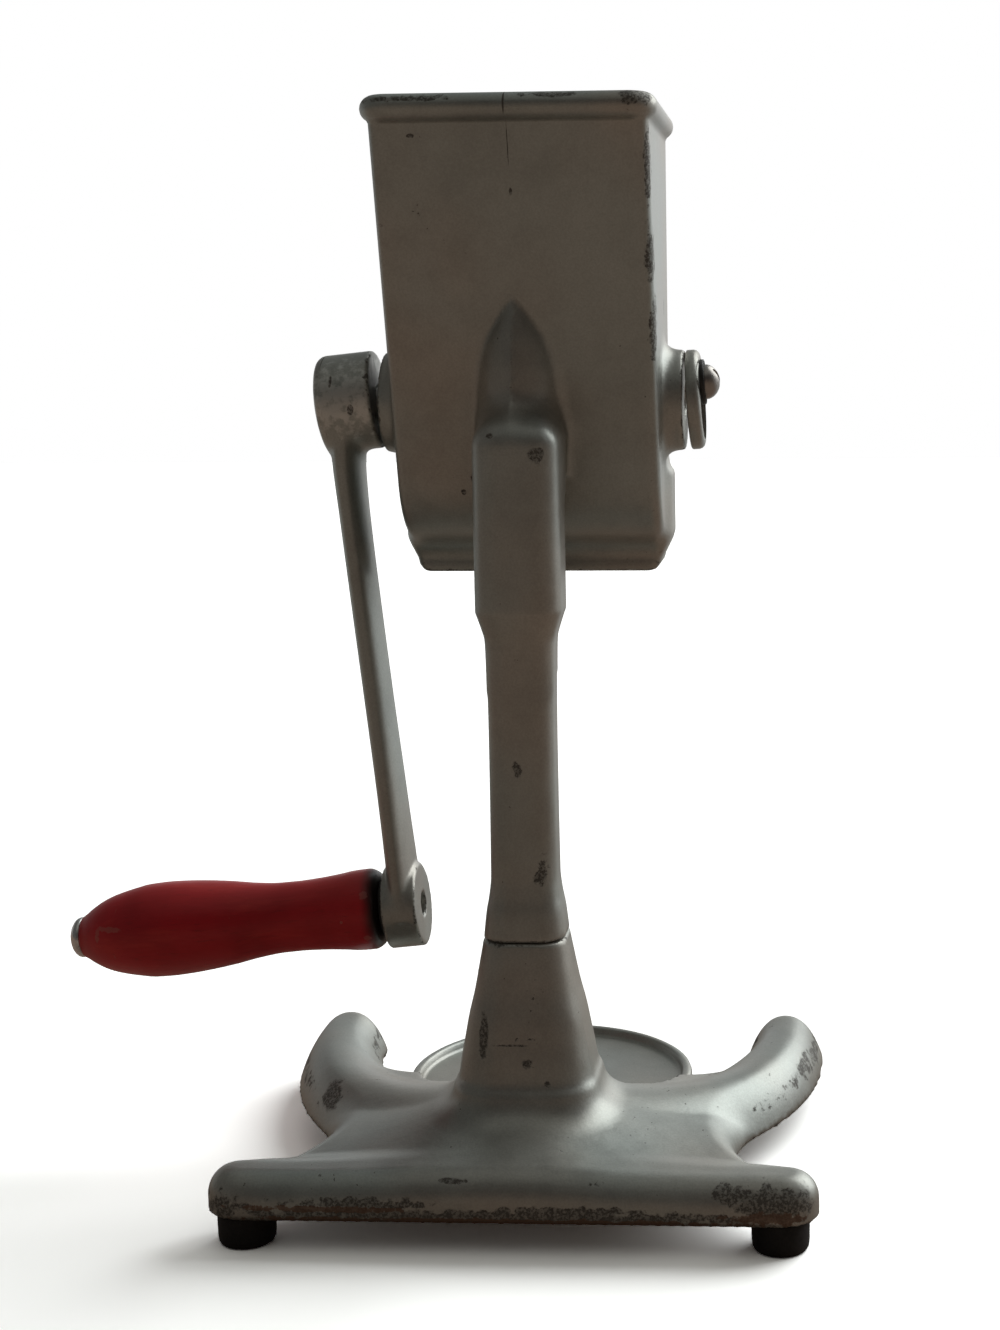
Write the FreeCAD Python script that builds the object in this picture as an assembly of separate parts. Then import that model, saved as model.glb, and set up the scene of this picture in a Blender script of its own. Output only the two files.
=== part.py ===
"""Hand crank ice crusher, cast aluminium, with a wooden grip.

Millimetres. +X is the cap side, +Y the front where the glass stands, +Z up.
The sizes below stand on the floor with the post's axis at x = y = 0. The finished
pieces are then moved so that the origin is the centre of the glass plate's top.
"""
import FreeCAD, Part
import math
import os

V = FreeCAD.Vector
X_AXIS = V(1, 0, 0)
Y_AXIS = V(0, 1, 0)
Z_AXIS = V(0, 0, 1)

# Fits and small gaps
running_clearance = 0.05
drill_clearance = 0.2
seat_gap = 0.3

# Rubber feet and their screws
foot_diameter = 18.0
foot_height = 10.5
foot_edge_bevel = 1.2
foot_counterbore_diameter = 9.0
foot_counterbore_depth = 4.5
rear_foot_x = 83.5
rear_foot_y = -43.5
front_foot_x = 81.5
front_foot_y = 95.0
foot_screw_diameter = 4.0
foot_screw_head_diameter = 8.0
foot_screw_head_height = 2.6
foot_screw_head_bevel = 1.0
foot_screw_hold = 7.0
foot_boss_diameter = 13.0

# Base casting
base_top_height = 24.8
base_wall = 4.5
base_edge_radius = 10.5
bar_half_length = 95.5
bar_back_y = -53.5
bar_end_radius = 11.0
waist_x = 68.3
leg_outer_x = 95.5
leg_outer_radius = 128.0
leg_straight = 5.0
leg_end_y = 95.5
leg_end_radius = 14.0
leg_inner_radius = 45.0
leg_inner_turn_deg = 62.0

# Glass plate
plate_y = 54.0
plate_radius = 50.0
plate_height = 17.5
plate_rim_height = 20.5
plate_rim_width = 3.6
plate_rim_bevel = 0.9
plate_thickness = 4.5

# Pedestal and post
seam_height = 86.5
pedestal_top_width = 26.8
pedestal_mid_height = 60.0
pedestal_mid_width = 37.2
pedestal_low_height = 38.0
pedestal_low_width = 46.4
pedestal_flare_width = 92.0
pedestal_wall = 5.0
pedestal_web_thickness = 15.0
post_width = 21.4
post_foot_top = 106.0
post_foot_hollow = 0.8
shoulder_width = 28.2
shoulder_below_mouth = 17.0
shoulder_step = 8.5
shoulder_below_shaft = 5.0
shoulder_rounding = 7.0
corner_share = 0.32

# Post bolt
bolt_diameter = 9.5
bolt_head_width = 14.0
bolt_head_height = 6.0
bolt_length = 60.0
bolt_washer_diameter = 20.0
bolt_washer_thickness = 2.0
spigot_diameter = 17.0
spigot_height = 5.0

# Hopper
hopper_half_width = 44.0
hopper_wall = 3.8
hopper_corner_radius = 5.0
hopper_front_y = 66.0
hopper_top_above_shaft = 92.5
hopper_back_lean_deg = 15.8
rim_bead_radius = 4.5
rim_inset = 1.2
rim_corner_radius = 6.0
chute_bend_below_shaft = 27.0
chute_bend_radius = 30.0
mouth_back_y = 44.5
mouth_below_shaft = 58.0
mouth_lip_height = 2.8
mouth_lip_step = 0.7
mouth_chamfer_width = 6.0
mouth_chamfer_height = 9.0
web_thickness = 9.0
web_overlap = 2.0
web_mouth_height = 6.0

# Keel on the back of the hopper
keel_x = -1.3
keel_tip_above_shaft = 33.0
keel_arch_height = 42.0
keel_ridge_lean_deg = 11.5
keel_tip_width = 0.8
keel_root_depth = 3.0

# Bearing bosses and shaft
shaft_y = 40.0
shaft_height = 259.0
shaft_diameter = 11.0
boss_diameter = 33.6
crank_boss_reach = 6.2
cap_boss_reach = 7.2
boss_root_radius = 3.5
shaft_end_gap = 1.0

# Rotor
drum_diameter = 24.0
drum_side_gap = 0.8
drum_edge_bevel = 1.0
pick_wall_gap = 3.0
pick_tip_radius = 19.5
pick_base_width = 6.0
pick_tip_width = 3.0
pick_pitch = 13.0
pick_count = 6
pick_rows = 6
pick_root_depth = 3.0
cross_pin_diameter = 4.0

# Breaker comb
comb_side_gap = 3.7
comb_thickness = 3.2
comb_below_shaft = 29.0
comb_height = 20.0
comb_tooth_thickness = 4.0
comb_tooth_reach = 9.5
comb_screw_diameter = 4.0
comb_screw_head_diameter = 8.4
comb_screw_head_height = 3.0
comb_screw_spacing = 39.0
comb_screw_rise = 6.5

# Crank
crank_lean_deg = 6.0
hub_boss_gap = 2.6
hub_diameter = 33.0
hub_length = 20.2
hub_edge_bevel = 1.2
crank_radius = 175.5
arm_outer_face = -9.4
arm_root_thickness = 18.0
arm_root_width = 29.0
arm_waist_thickness = 8.8
arm_waist_width = 21.2
arm_waist_share = 0.57
arm_foot_thickness = 10.6
arm_foot_width = 28.0
lower_boss_diameter = 28.4
lower_boss_length = 12.5
lower_boss_outer_face = -10.0
lower_boss_edge_bevel = 1.0
thrust_washer_diameter = 27.0
thrust_washer_thickness = 0.5
set_screw_diameter = 6.0
set_screw_length = 9.0

# Handle
grip_length = 106.6
grip_end_radius = 7.4
grip_bulb_radius = 16.4
grip_waist_radius = 12.0
grip_collar_radius = 14.0
handle_bolt_diameter = 8.0
handle_bolt_head_diameter = 14.0
handle_bolt_head_height = 4.4
handle_bolt_recess = 2.0
handle_washer_diameter = 20.0
handle_washer_thickness = 1.2

# Bearing cap with its screw
cap_diameter = 33.4
cap_thickness = 4.6
cap_edge_radius = 1.8
cap_tilt_deg = 3.2
cap_screw_radius = 9.0
cap_screw_rise = 5.8
cap_screw_diameter = 5.0
cap_screw_hold = 9.0
cap_screw_head_diameter = 11.5
cap_screw_head_height = 3.6
lock_washer_diameter = 15.0
lock_washer_thickness = 1.6

# Heights that follow the shaft
hopper_top_height = shaft_height + hopper_top_above_shaft
chute_bend_height = shaft_height - chute_bend_below_shaft
mouth_height = shaft_height - mouth_below_shaft
keel_tip_height = shaft_height + keel_tip_above_shaft
shoulder_top = shaft_height - shoulder_below_shaft
shoulder_bottom = mouth_height - shoulder_below_mouth
comb_bottom = shaft_height - comb_below_shaft
comb_screw_height = comb_bottom + comb_screw_rise

# Widths and places that follow the hopper's width
crank_boss_face = hopper_half_width + crank_boss_reach
cap_boss_face = hopper_half_width + cap_boss_reach
hub_centre_x = -(crank_boss_face + hub_boss_gap + hub_length / 2.0)
comb_width = 2 * (hopper_half_width - hopper_wall - comb_side_gap)


def cylinder(diameter, length, start, axis):
    """Round bar from start along axis."""
    return Part.makeCylinder(diameter / 2.0, length, start, axis)


def block(x0, x1, y0, y1, z0, z1):
    """Box between two corners."""
    return Part.makeBox(x1 - x0, y1 - y0, z1 - z0, V(x0, y0, z0))


def fuse_all(shapes):
    """One solid from overlapping shapes."""
    result = shapes[0].multiFuse(shapes[1:])
    return result.removeSplitter()


def revolve_profile(points, centre, axis):
    """Closed straight-sided profile turned about an axis."""
    wire = Part.makePolygon(points + [points[0]])
    return Part.Face(wire).revolve(centre, axis, 360)


def rounded_rectangle(half_x, y_back, y_front, radius, height):
    """Horizontal rounded rectangle as a wire of lines and arcs."""
    x0, x1 = -half_x, half_x
    inset = radius * (1 - math.sqrt(0.5))
    edges = [
        Part.LineSegment(V(x0 + radius, y_back, height), V(x1 - radius, y_back, height)),
        Part.Arc(V(x1 - radius, y_back, height), V(x1 - inset, y_back + inset, height),
                 V(x1, y_back + radius, height)),
        Part.LineSegment(V(x1, y_back + radius, height), V(x1, y_front - radius, height)),
        Part.Arc(V(x1, y_front - radius, height), V(x1 - inset, y_front - inset, height),
                 V(x1 - radius, y_front, height)),
        Part.LineSegment(V(x1 - radius, y_front, height), V(x0 + radius, y_front, height)),
        Part.Arc(V(x0 + radius, y_front, height), V(x0 + inset, y_front - inset, height),
                 V(x0, y_front - radius, height)),
        Part.LineSegment(V(x0, y_front - radius, height), V(x0, y_back + radius, height)),
        Part.Arc(V(x0, y_back + radius, height), V(x0 + inset, y_back + inset, height),
                 V(x0 + radius, y_back, height)),
    ]
    return Part.Wire([edge.toShape() for edge in edges])


def post_section(width, height):
    """Section of the post or pedestal, a rounded square on the post's axis."""
    half = width / 2.0
    return rounded_rectangle(half, -half, half, corner_share * width, height)


def loft(sections, ruled=True):
    """Solid through a list of closed wires."""
    return Part.makeLoft(sections, True, ruled)


def back_wall_y(height):
    """Outer face of the sloping back wall at a height, clear of the picks' tips."""
    lean = math.radians(hopper_back_lean_deg)
    from_shaft = (pick_tip_radius + pick_wall_gap + hopper_wall) / math.cos(lean)
    return shaft_y - from_shaft + (shaft_height - height) * math.tan(lean)


def fillet_edges(solid, radius, wanted):
    """Round the edges that the test picks out."""
    edges = [edge for edge in solid.Edges if wanted(edge)]
    return solid.makeFillet(radius, edges)


def arc_about(centre, radius, start_deg, stop_deg):
    """Arc about a vertical axis between two directions."""
    points = []
    for turn in (start_deg, (start_deg + stop_deg) / 2.0, stop_deg):
        angle = math.radians(turn)
        points.append(centre + V(math.cos(angle), math.sin(angle), 0) * radius)
    return Part.Arc(points[0], points[1], points[2])


def direction_deg(start, stop):
    """Direction in plan from one point to another."""
    return math.degrees(math.atan2(stop.y - start.y, stop.x - start.x))


def waist_circle(bar_centre, leg_arc_centre):
    """Radius and centre of the waist, tangent to the bar's end and to the leg's outer side."""
    low, high = 1.0, 400.0
    for _ in range(60):
        radius = (low + high) / 2.0
        to_bar = math.sqrt((bar_half_length - waist_x)
                           * (2 * radius + bar_end_radius + waist_x - bar_centre.x))
        to_leg = math.sqrt((leg_outer_x - waist_x)
                           * (2 * radius + leg_outer_radius + waist_x - leg_arc_centre.x))
        if to_bar + to_leg > leg_arc_centre.y - bar_centre.y:
            high = radius
        else:
            low = radius
    return radius, V(waist_x + radius, bar_centre.y + to_bar, bar_centre.z)


def base_outline(inset, height):
    """Plan of the base from tangent arcs, closed by a straight line under the plate."""
    bar_centre = V(bar_half_length - bar_end_radius, bar_back_y + bar_end_radius, height)
    leg_centre = V(leg_outer_x - leg_end_radius, leg_end_y, height)
    leg_arc_centre = V(leg_outer_x - leg_outer_radius, leg_end_y - leg_straight, height)
    waist_radius, waist_centre = waist_circle(bar_centre, leg_arc_centre)
    inner_centre = V(leg_centre.x - leg_end_radius - leg_inner_radius, leg_end_y, height)
    bar_turn = direction_deg(bar_centre, waist_centre)
    leg_turn = direction_deg(leg_arc_centre, waist_centre)
    bar_arc = arc_about(bar_centre, bar_end_radius - inset, -90, bar_turn)
    waist_arc = arc_about(waist_centre, waist_radius + inset, bar_turn + 180, leg_turn + 180)
    leg_arc = arc_about(leg_arc_centre, leg_outer_radius - inset, leg_turn, 0)
    end_arc = arc_about(leg_centre, leg_end_radius - inset, 0, 180)
    inner_arc = arc_about(inner_centre, leg_inner_radius + inset, 0, -leg_inner_turn_deg)
    middle = V(0, inner_arc.EndPoint.y, height)
    right = [
        Part.LineSegment(V(0, bar_back_y + inset, height), bar_arc.StartPoint),
        bar_arc, waist_arc, leg_arc,
        Part.LineSegment(leg_arc.EndPoint, end_arc.StartPoint),
        end_arc, inner_arc,
        Part.LineSegment(inner_arc.EndPoint, middle),
    ]
    right = Part.Wire([edge.toShape() for edge in right])
    left = right.mirror(V(0, 0, 0), X_AXIS)
    return Part.Wire(Part.__sortEdges__(right.Edges + left.Edges))


def base_slab():
    """Bar, apron and legs, with a rounded top edge."""
    plan = Part.Face(base_outline(0.0, foot_height))
    slab = plan.extrude(V(0, 0, base_top_height - foot_height))
    closing_y = min(vertex.Y for vertex in slab.Vertexes if abs(vertex.X) < 1 and vertex.Y > 0)

    def rounded(edge):
        box = edge.BoundBox
        on_top = box.ZMin > base_top_height - 0.01
        closing = abs(box.YMin - closing_y) < 0.01 and abs(box.YMax - closing_y) < 0.01
        return on_top and not closing

    return fillet_edges(slab, base_edge_radius, rounded)


def pedestal_flare():
    """Skirt that blends the pedestal into the bar and legs."""
    sections = []
    for step in range(5):
        turn = math.radians(90.0 * step / 4.0)
        spread = (pedestal_flare_width - pedestal_low_width) * (1 - math.cos(turn))
        drop = (pedestal_low_height - base_top_height + seat_gap) * math.sin(turn)
        sections.append(post_section(pedestal_low_width + spread, pedestal_low_height - drop))
    return loft(sections)


def glass_plate():
    """Round plate with a raised rim, bevelled on both sides."""
    inner = plate_radius - plate_rim_width
    profile = [(0.0, foot_height), (plate_radius, foot_height),
               (plate_radius, plate_rim_height - plate_rim_bevel),
               (plate_radius - plate_rim_bevel, plate_rim_height),
               (inner + plate_rim_bevel, plate_rim_height),
               (inner, plate_rim_height - plate_rim_bevel), (inner, plate_height),
               (0.0, plate_height)]
    return revolve_profile([V(x, plate_y, z) for x, z in profile], V(0, plate_y, 0), Z_AXIS)


def foot_places():
    """Name and centre of each foot."""
    return {
        "rear_left": V(-rear_foot_x, rear_foot_y, 0),
        "rear_right": V(rear_foot_x, rear_foot_y, 0),
        "front_left": V(-front_foot_x, front_foot_y, 0),
        "front_right": V(front_foot_x, front_foot_y, 0),
    }


def base_hollow():
    """Space under the base: below the slab, the plate and inside the pedestal."""
    roof = base_top_height - base_wall
    under_slab = Part.Face(base_outline(base_wall, foot_height)).extrude(
        V(0, 0, roof - foot_height))
    under_slab = under_slab.cut(cylinder(2 * plate_radius, roof, V(0, plate_y, 0), Z_AXIS))
    under_plate = cylinder(2 * (plate_radius - base_wall),
                           plate_height - plate_thickness - foot_height,
                           V(0, plate_y, foot_height), Z_AXIS)
    web_bottom = seam_height - pedestal_web_thickness
    inside_pedestal = loft([
        post_section(pedestal_low_width - 2 * pedestal_wall, foot_height),
        post_section(pedestal_low_width - 2 * pedestal_wall, pedestal_low_height),
        post_section(pedestal_mid_width - 2 * pedestal_wall, pedestal_mid_height),
        post_section(pedestal_mid_width - 2 * pedestal_wall - 2.0, web_bottom),
    ])
    return [under_slab, under_plate, inside_pedestal]


def base_casting():
    """The whole base casting with its hollow underside."""
    recess = cylinder(2 * (plate_radius - plate_rim_width), seam_height,
                      V(0, plate_y, plate_height), Z_AXIS)
    skirt = fuse_all([base_slab(), pedestal_flare()]).cut(recess)
    cone = loft([
        post_section(pedestal_low_width, foot_height),
        post_section(pedestal_low_width, pedestal_low_height),
        post_section(pedestal_mid_width, pedestal_mid_height),
        post_section(pedestal_top_width, seam_height),
    ])
    casting = fuse_all([skirt, glass_plate(), cone])
    casting = casting.cut(base_hollow())
    screw_top = foot_height + foot_screw_hold
    bosses = []
    holes = []
    for place in foot_places().values():
        start = V(place.x, place.y, foot_height)
        bosses.append(cylinder(foot_boss_diameter, base_top_height - base_wall - foot_height + 1,
                               start, Z_AXIS))
        holes.append(cylinder(foot_screw_diameter, screw_top - foot_height, start, Z_AXIS))
    holes.append(cylinder(bolt_diameter + 2 * drill_clearance, seam_height, V(0, 0, 0), Z_AXIS))
    holes.append(cylinder(spigot_diameter + 2 * drill_clearance, spigot_height + 2 * drill_clearance,
                          V(0, 0, seam_height - spigot_height - 2 * drill_clearance), Z_AXIS))
    return casting.multiFuse(bosses).cut(holes).removeSplitter()


def rubber_foot(place):
    """Rubber foot with a bevelled lower edge and a sunk hole for its screw."""
    outer = foot_diameter / 2.0
    hole = foot_screw_diameter / 2.0 + drill_clearance
    sink = foot_counterbore_diameter / 2.0
    profile = [(hole, foot_height), (outer, foot_height), (outer, foot_edge_bevel),
               (outer - foot_edge_bevel, 0.0), (sink, 0.0), (sink, foot_counterbore_depth),
               (hole, foot_counterbore_depth)]
    return revolve_profile([place + V(x, 0, z) for x, z in profile], place, Z_AXIS)


def foot_screw(place):
    """Pan headed screw that holds a foot."""
    seat = foot_counterbore_depth
    bottom = seat - foot_screw_head_height
    top = foot_height + foot_screw_hold
    head = foot_screw_head_diameter / 2.0
    shank = foot_screw_diameter / 2.0
    profile = [(0.0, bottom), (head - foot_screw_head_bevel, bottom),
               (head, bottom + foot_screw_head_bevel), (head, seat), (shank, seat), (shank, top),
               (0.0, top)]
    return revolve_profile([place + V(x, 0, z) for x, z in profile], place, Z_AXIS)


def hexagon(width, height, start):
    """Hexagonal bar standing on start."""
    corner = width / math.sqrt(3.0)
    points = [start + V(math.cos(math.radians(60 * k)), math.sin(math.radians(60 * k)), 0) * corner
              for k in range(7)]
    return Part.Face(Part.makePolygon(points)).extrude(V(0, 0, height))


def post_bolt():
    """Hexagon bolt from inside the pedestal up into the post."""
    under_head = seam_height - pedestal_web_thickness - bolt_washer_thickness
    head = hexagon(bolt_head_width, bolt_head_height, V(0, 0, under_head - bolt_head_height))
    shank = cylinder(bolt_diameter, bolt_length, V(0, 0, under_head), Z_AXIS)
    return fuse_all([head, shank])


def post_bolt_washer():
    """Flat washer above the bolt's head."""
    bottom = V(0, 0, seam_height - pedestal_web_thickness - bolt_washer_thickness)
    ring = cylinder(bolt_washer_diameter, bolt_washer_thickness, bottom, Z_AXIS)
    return ring.cut(cylinder(bolt_diameter + drill_clearance, bolt_washer_thickness, bottom, Z_AXIS))


def hopper_profile(inset):
    """Side outline of the hopper and chute, moved inwards by inset, at x = 0."""
    lean = math.radians(hopper_back_lean_deg)
    shift = inset / math.cos(lean)
    top = hopper_top_height + (2 * rim_bead_radius if inset else 0.0)
    centre = V(0, back_wall_y(chute_bend_height) + chute_bend_radius * math.cos(lean),
               chute_bend_height + chute_bend_radius * math.sin(lean))
    radius = chute_bend_radius - inset
    lip_y = mouth_back_y + inset
    bottom = mouth_height - (1.0 if inset else 0.0)
    end_turn = math.acos((centre.y - lip_y) / radius)
    mid_turn = (end_turn - lean) / 2.0 + lean

    def on_bend(turn):
        return centre - V(0, math.cos(turn), math.sin(turn)) * radius

    back_top = V(0, back_wall_y(top) + shift, top)
    front_y = hopper_front_y - inset
    edges = [
        Part.LineSegment(back_top, on_bend(lean)),
        Part.Arc(on_bend(lean), on_bend(mid_turn), on_bend(end_turn)),
        Part.LineSegment(on_bend(end_turn), V(0, lip_y, bottom)),
        Part.LineSegment(V(0, lip_y, bottom), V(0, front_y, bottom)),
        Part.LineSegment(V(0, front_y, bottom), V(0, front_y, top)),
        Part.LineSegment(V(0, front_y, top), back_top),
    ]
    return Part.Wire([edge.toShape() for edge in edges])


def hopper_prism(half_width, inset, corner_radius):
    """Hopper outline carried across the machine, with rounded upright corners."""
    prism = Part.Face(hopper_profile(inset)).extrude(V(2 * half_width, 0, 0))
    prism.translate(V(-half_width, 0, 0))

    def upright(edge):
        box = edge.BoundBox
        on_side = box.XLength < 0.01
        return on_side and box.ZLength > 9.0

    return fillet_edges(prism, corner_radius, upright)


def rim_bead():
    """Round bead along the hopper's rim."""
    half = hopper_half_width - rim_inset
    path = rounded_rectangle(half, back_wall_y(hopper_top_height) + rim_inset,
                             hopper_front_y - rim_inset, rim_corner_radius, hopper_top_height)
    start = path.Vertexes[0].Point
    ring = Part.Wire(Part.makeCircle(rim_bead_radius, start, X_AXIS))
    return path.makePipeShell([ring], True, False)


def mouth_chamfers(inset):
    """Wedges that cut the lower side corners, moved inwards by inset."""
    slope = mouth_chamfer_width / mouth_chamfer_height
    half = hopper_half_width - inset * math.sqrt(1 + slope ** 2)
    wedges = []
    for side in (-1, 1):
        x_low = side * (half - mouth_chamfer_width)
        x_out = side * (half + mouth_chamfer_width)
        z_high = mouth_height + 2 * mouth_chamfer_height
        points = [V(x_low, 0, mouth_height), V(x_out, 0, z_high), V(x_out, 0, mouth_height - 5),
                  V(x_low, 0, mouth_height - 5)]
        face = Part.Face(Part.makePolygon(points + [points[0]]))
        wedges.append(face.extrude(V(0, hopper_front_y + 10, 0)))
    return wedges


def mouth_lip():
    """Slightly proud lip round the mouth, following the chamfers."""
    slope = mouth_chamfer_width / mouth_chamfer_height
    sections = []
    for rise in (0.0, mouth_lip_height):
        half = hopper_half_width - mouth_chamfer_width + rise * slope + mouth_lip_step
        sections.append(rounded_rectangle(half, mouth_back_y - mouth_lip_step,
                                          hopper_front_y + mouth_lip_step, hopper_corner_radius,
                                          mouth_height + rise))
    return loft(sections)


def keel():
    """Keel on the back wall: a pointed arch from behind, with a straight sharp ridge."""
    half = shoulder_width / 2.0
    arch_radius = (half ** 2 + keel_arch_height ** 2) / (2 * half)
    ridge_run = math.tan(math.radians(keel_ridge_lean_deg))
    sections = []
    for share in (-0.2, 0.0, 0.25, 0.5, 0.7, 0.86, 1.0):
        height = keel_tip_height - keel_arch_height * (1 - share)
        up = max(share, 0.0) * keel_arch_height
        arch = math.sqrt(arch_radius ** 2 - up ** 2) - (arch_radius - half)
        side = max(arch, keel_tip_width / 2.0)
        wall = back_wall_y(height)
        ridge = back_wall_y(keel_tip_height) - (keel_tip_height - height) * ridge_run
        points = [V(keel_x - side, wall + keel_root_depth, height), V(keel_x - side, wall, height),
                  V(keel_x, ridge - keel_tip_width / 2.0, height), V(keel_x + side, wall, height),
                  V(keel_x + side, wall + keel_root_depth, height)]
        sections.append(Part.makePolygon(points + [points[0]]))
    return loft(sections)


def post():
    """Post with its flared foot, narrow shank and wide shoulders."""
    shank = loft([
        post_section(pedestal_top_width, seam_height),
        post_section((pedestal_top_width + post_width) / 2.0 - post_foot_hollow,
                     (seam_height + post_foot_top) / 2.0),
        post_section(post_width, post_foot_top),
        post_section(post_width, shoulder_bottom),
        post_section(shoulder_width, shoulder_bottom + shoulder_step),
    ])
    head = loft([post_section(shoulder_width, shoulder_bottom + shoulder_step),
                 post_section(shoulder_width, shoulder_top)])
    head = fillet_edges(head, shoulder_rounding,
                        lambda edge: edge.BoundBox.ZMin > shoulder_top - 0.01)
    spigot = cylinder(spigot_diameter, spigot_height, V(0, 0, seam_height - spigot_height), Z_AXIS)
    return [shank, head, spigot]


def chute_web():
    """Rib that ties the chute to the post."""
    front = post_width / 2.0 - web_overlap
    mouth_y = mouth_back_y + web_overlap / 2.0
    lip_top = mouth_height + mouth_lip_height
    points = [V(0, front, shoulder_bottom - web_overlap),
              V(0, front, shoulder_top - shoulder_rounding),
              V(0, back_wall_y(chute_bend_height) + web_mouth_height, chute_bend_height),
              V(0, mouth_y, lip_top + web_mouth_height), V(0, mouth_y, lip_top)]
    web = Part.Face(Part.makePolygon(points + [points[0]])).extrude(V(web_thickness, 0, 0))
    web.translate(V(-web_thickness / 2.0, 0, 0))
    return web


def bearing_boss(side, face_x):
    """Round boss on a side wall."""
    root = V(side * (hopper_half_width - hopper_wall + 1), shaft_y, shaft_height)
    length = face_x - hopper_half_width + hopper_wall - 1
    return cylinder(boss_diameter, length, root, X_AXIS * side)


def body_casting():
    """Hopper, chute, bosses, keel and post in one casting."""
    shell = hopper_prism(hopper_half_width, 0.0, hopper_corner_radius)
    shell = shell.cut(mouth_chamfers(0.0))
    outside = fuse_all([shell, bearing_boss(-1, crank_boss_face), bearing_boss(1, cap_boss_face)])
    outside = fillet_edges(
        outside, boss_root_radius,
        lambda edge: edge.Curve.TypeId == "Part::GeomCircle"
        and abs(edge.Curve.Radius - boss_diameter / 2.0) < 0.01
        and abs(abs(edge.BoundBox.Center.x) - hopper_half_width) < 0.01)
    outside = fuse_all([outside, rim_bead(), mouth_lip(), keel(), chute_web()] + post())
    inside = hopper_prism(hopper_half_width - hopper_wall, hopper_wall,
                          hopper_corner_radius - hopper_wall + 0.8)
    inside = inside.cut(mouth_chamfers(hopper_wall))
    bore_length = 2 * (cap_boss_face + 5)
    bore = cylinder(shaft_diameter + 2 * running_clearance, bore_length,
                    V(-bore_length / 2.0, shaft_y, shaft_height), X_AXIS)
    tapped = cylinder(bolt_diameter, bolt_length, V(0, 0, seam_height - pedestal_web_thickness
                                                    - bolt_washer_thickness), Z_AXIS)
    holes = [inside, bore, tapped, cap_screw_bar(cap_screw_diameter)]
    holes += [comb_screw_hole(x, comb_screw_diameter + 2 * drill_clearance)
              for x in comb_screw_places()]
    return outside.cut(holes).removeSplitter()


def rotor_shaft():
    """Shaft through the crank hub, both bosses and the drum."""
    start_x = hub_centre_x - hub_length / 2.0 + shaft_end_gap
    shaft = cylinder(shaft_diameter, cap_boss_face - shaft_end_gap - start_x,
                     V(start_x, shaft_y, shaft_height), X_AXIS)
    return shaft.cut(cross_pin())


def cross_pin():
    """Pin that fixes the drum on the shaft."""
    length = drum_diameter - 1.0
    return cylinder(cross_pin_diameter, length,
                    V(0, shaft_y - length / 2.0, shaft_height), Y_AXIS)


def pick(x, turn_deg):
    """One square tapered pick on the drum."""
    root = drum_diameter / 2.0 - pick_root_depth
    wires = []
    for radius, width in ((root, pick_base_width), (pick_tip_radius, pick_tip_width)):
        half = width / 2.0
        corners = [V(x - half, -half, radius), V(x + half, -half, radius),
                   V(x + half, half, radius), V(x - half, half, radius)]
        wires.append(Part.makePolygon(corners + [corners[0]]))
    solid = Part.makeLoft(wires, True, True)
    solid.translate(V(0, shaft_y, shaft_height))
    solid.rotate(V(0, shaft_y, shaft_height), X_AXIS, turn_deg)
    return solid


def pick_row(row):
    """Every second pick place along the drum, staggered from row to row."""
    first = -(pick_count - 1) / 2.0 * pick_pitch
    places = [first + pick_pitch * k for k in range(pick_count) if k % 2 == row % 2]
    turn = 360.0 * (row + 0.5) / pick_rows
    return Part.makeCompound([pick(x, turn) for x in places])


def drum_length():
    """Length of the drum between the side walls."""
    return 2 * (hopper_half_width - hopper_wall - drum_side_gap)


def rotor_drum():
    """Cast drum with pockets for the picks."""
    length = drum_length()
    drum = bevelled_bar(drum_diameter, length, V(-length / 2.0, shaft_y, shaft_height),
                        drum_edge_bevel)
    cuts = [cylinder(shaft_diameter, length, V(-length / 2.0, shaft_y, shaft_height), X_AXIS),
            cross_pin()]
    for row in range(pick_rows):
        cuts += pick_row(row).Solids
    return drum.cut(cuts)


def comb_screw_places():
    """Sideways places of the comb's screws."""
    return (-comb_screw_spacing / 2.0, comb_screw_spacing / 2.0)


def comb_screw_hole(x, diameter):
    """Bar along a comb screw, through the front wall and the comb."""
    start = V(x, hopper_front_y - hopper_wall - comb_thickness, comb_screw_height)
    return cylinder(diameter, hopper_wall + comb_thickness, start, Y_AXIS)


def breaker_comb():
    """Plate with teeth that stand between the picks."""
    face_y = hopper_front_y - hopper_wall
    back_y = face_y - comb_thickness
    top = comb_bottom + comb_height
    plate = block(-comb_width / 2.0, comb_width / 2.0, back_y, face_y, comb_bottom, top)
    teeth = []
    for k in range(-(pick_count // 2 - 1), pick_count // 2):
        x = k * pick_pitch - comb_tooth_thickness / 2.0
        points = [V(x, back_y + 1, comb_bottom + 1), V(x, back_y + 1, top),
                  V(x, back_y - comb_tooth_reach, top - 1.0),
                  V(x, back_y - comb_tooth_reach, top - 3.5)]
        tooth = Part.Face(Part.makePolygon(points + [points[0]]))
        teeth.append(tooth.extrude(V(comb_tooth_thickness, 0, 0)))
    comb = fuse_all([plate] + teeth)
    return comb.cut([comb_screw_hole(x, comb_screw_diameter) for x in comb_screw_places()])


def comb_screw(x):
    """Round headed screw through the front wall into the comb."""
    head = dome(comb_screw_head_diameter, comb_screw_head_height,
                V(x, hopper_front_y, comb_screw_height), Y_AXIS)
    return fuse_all([head, comb_screw_hole(x, comb_screw_diameter)])


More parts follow.
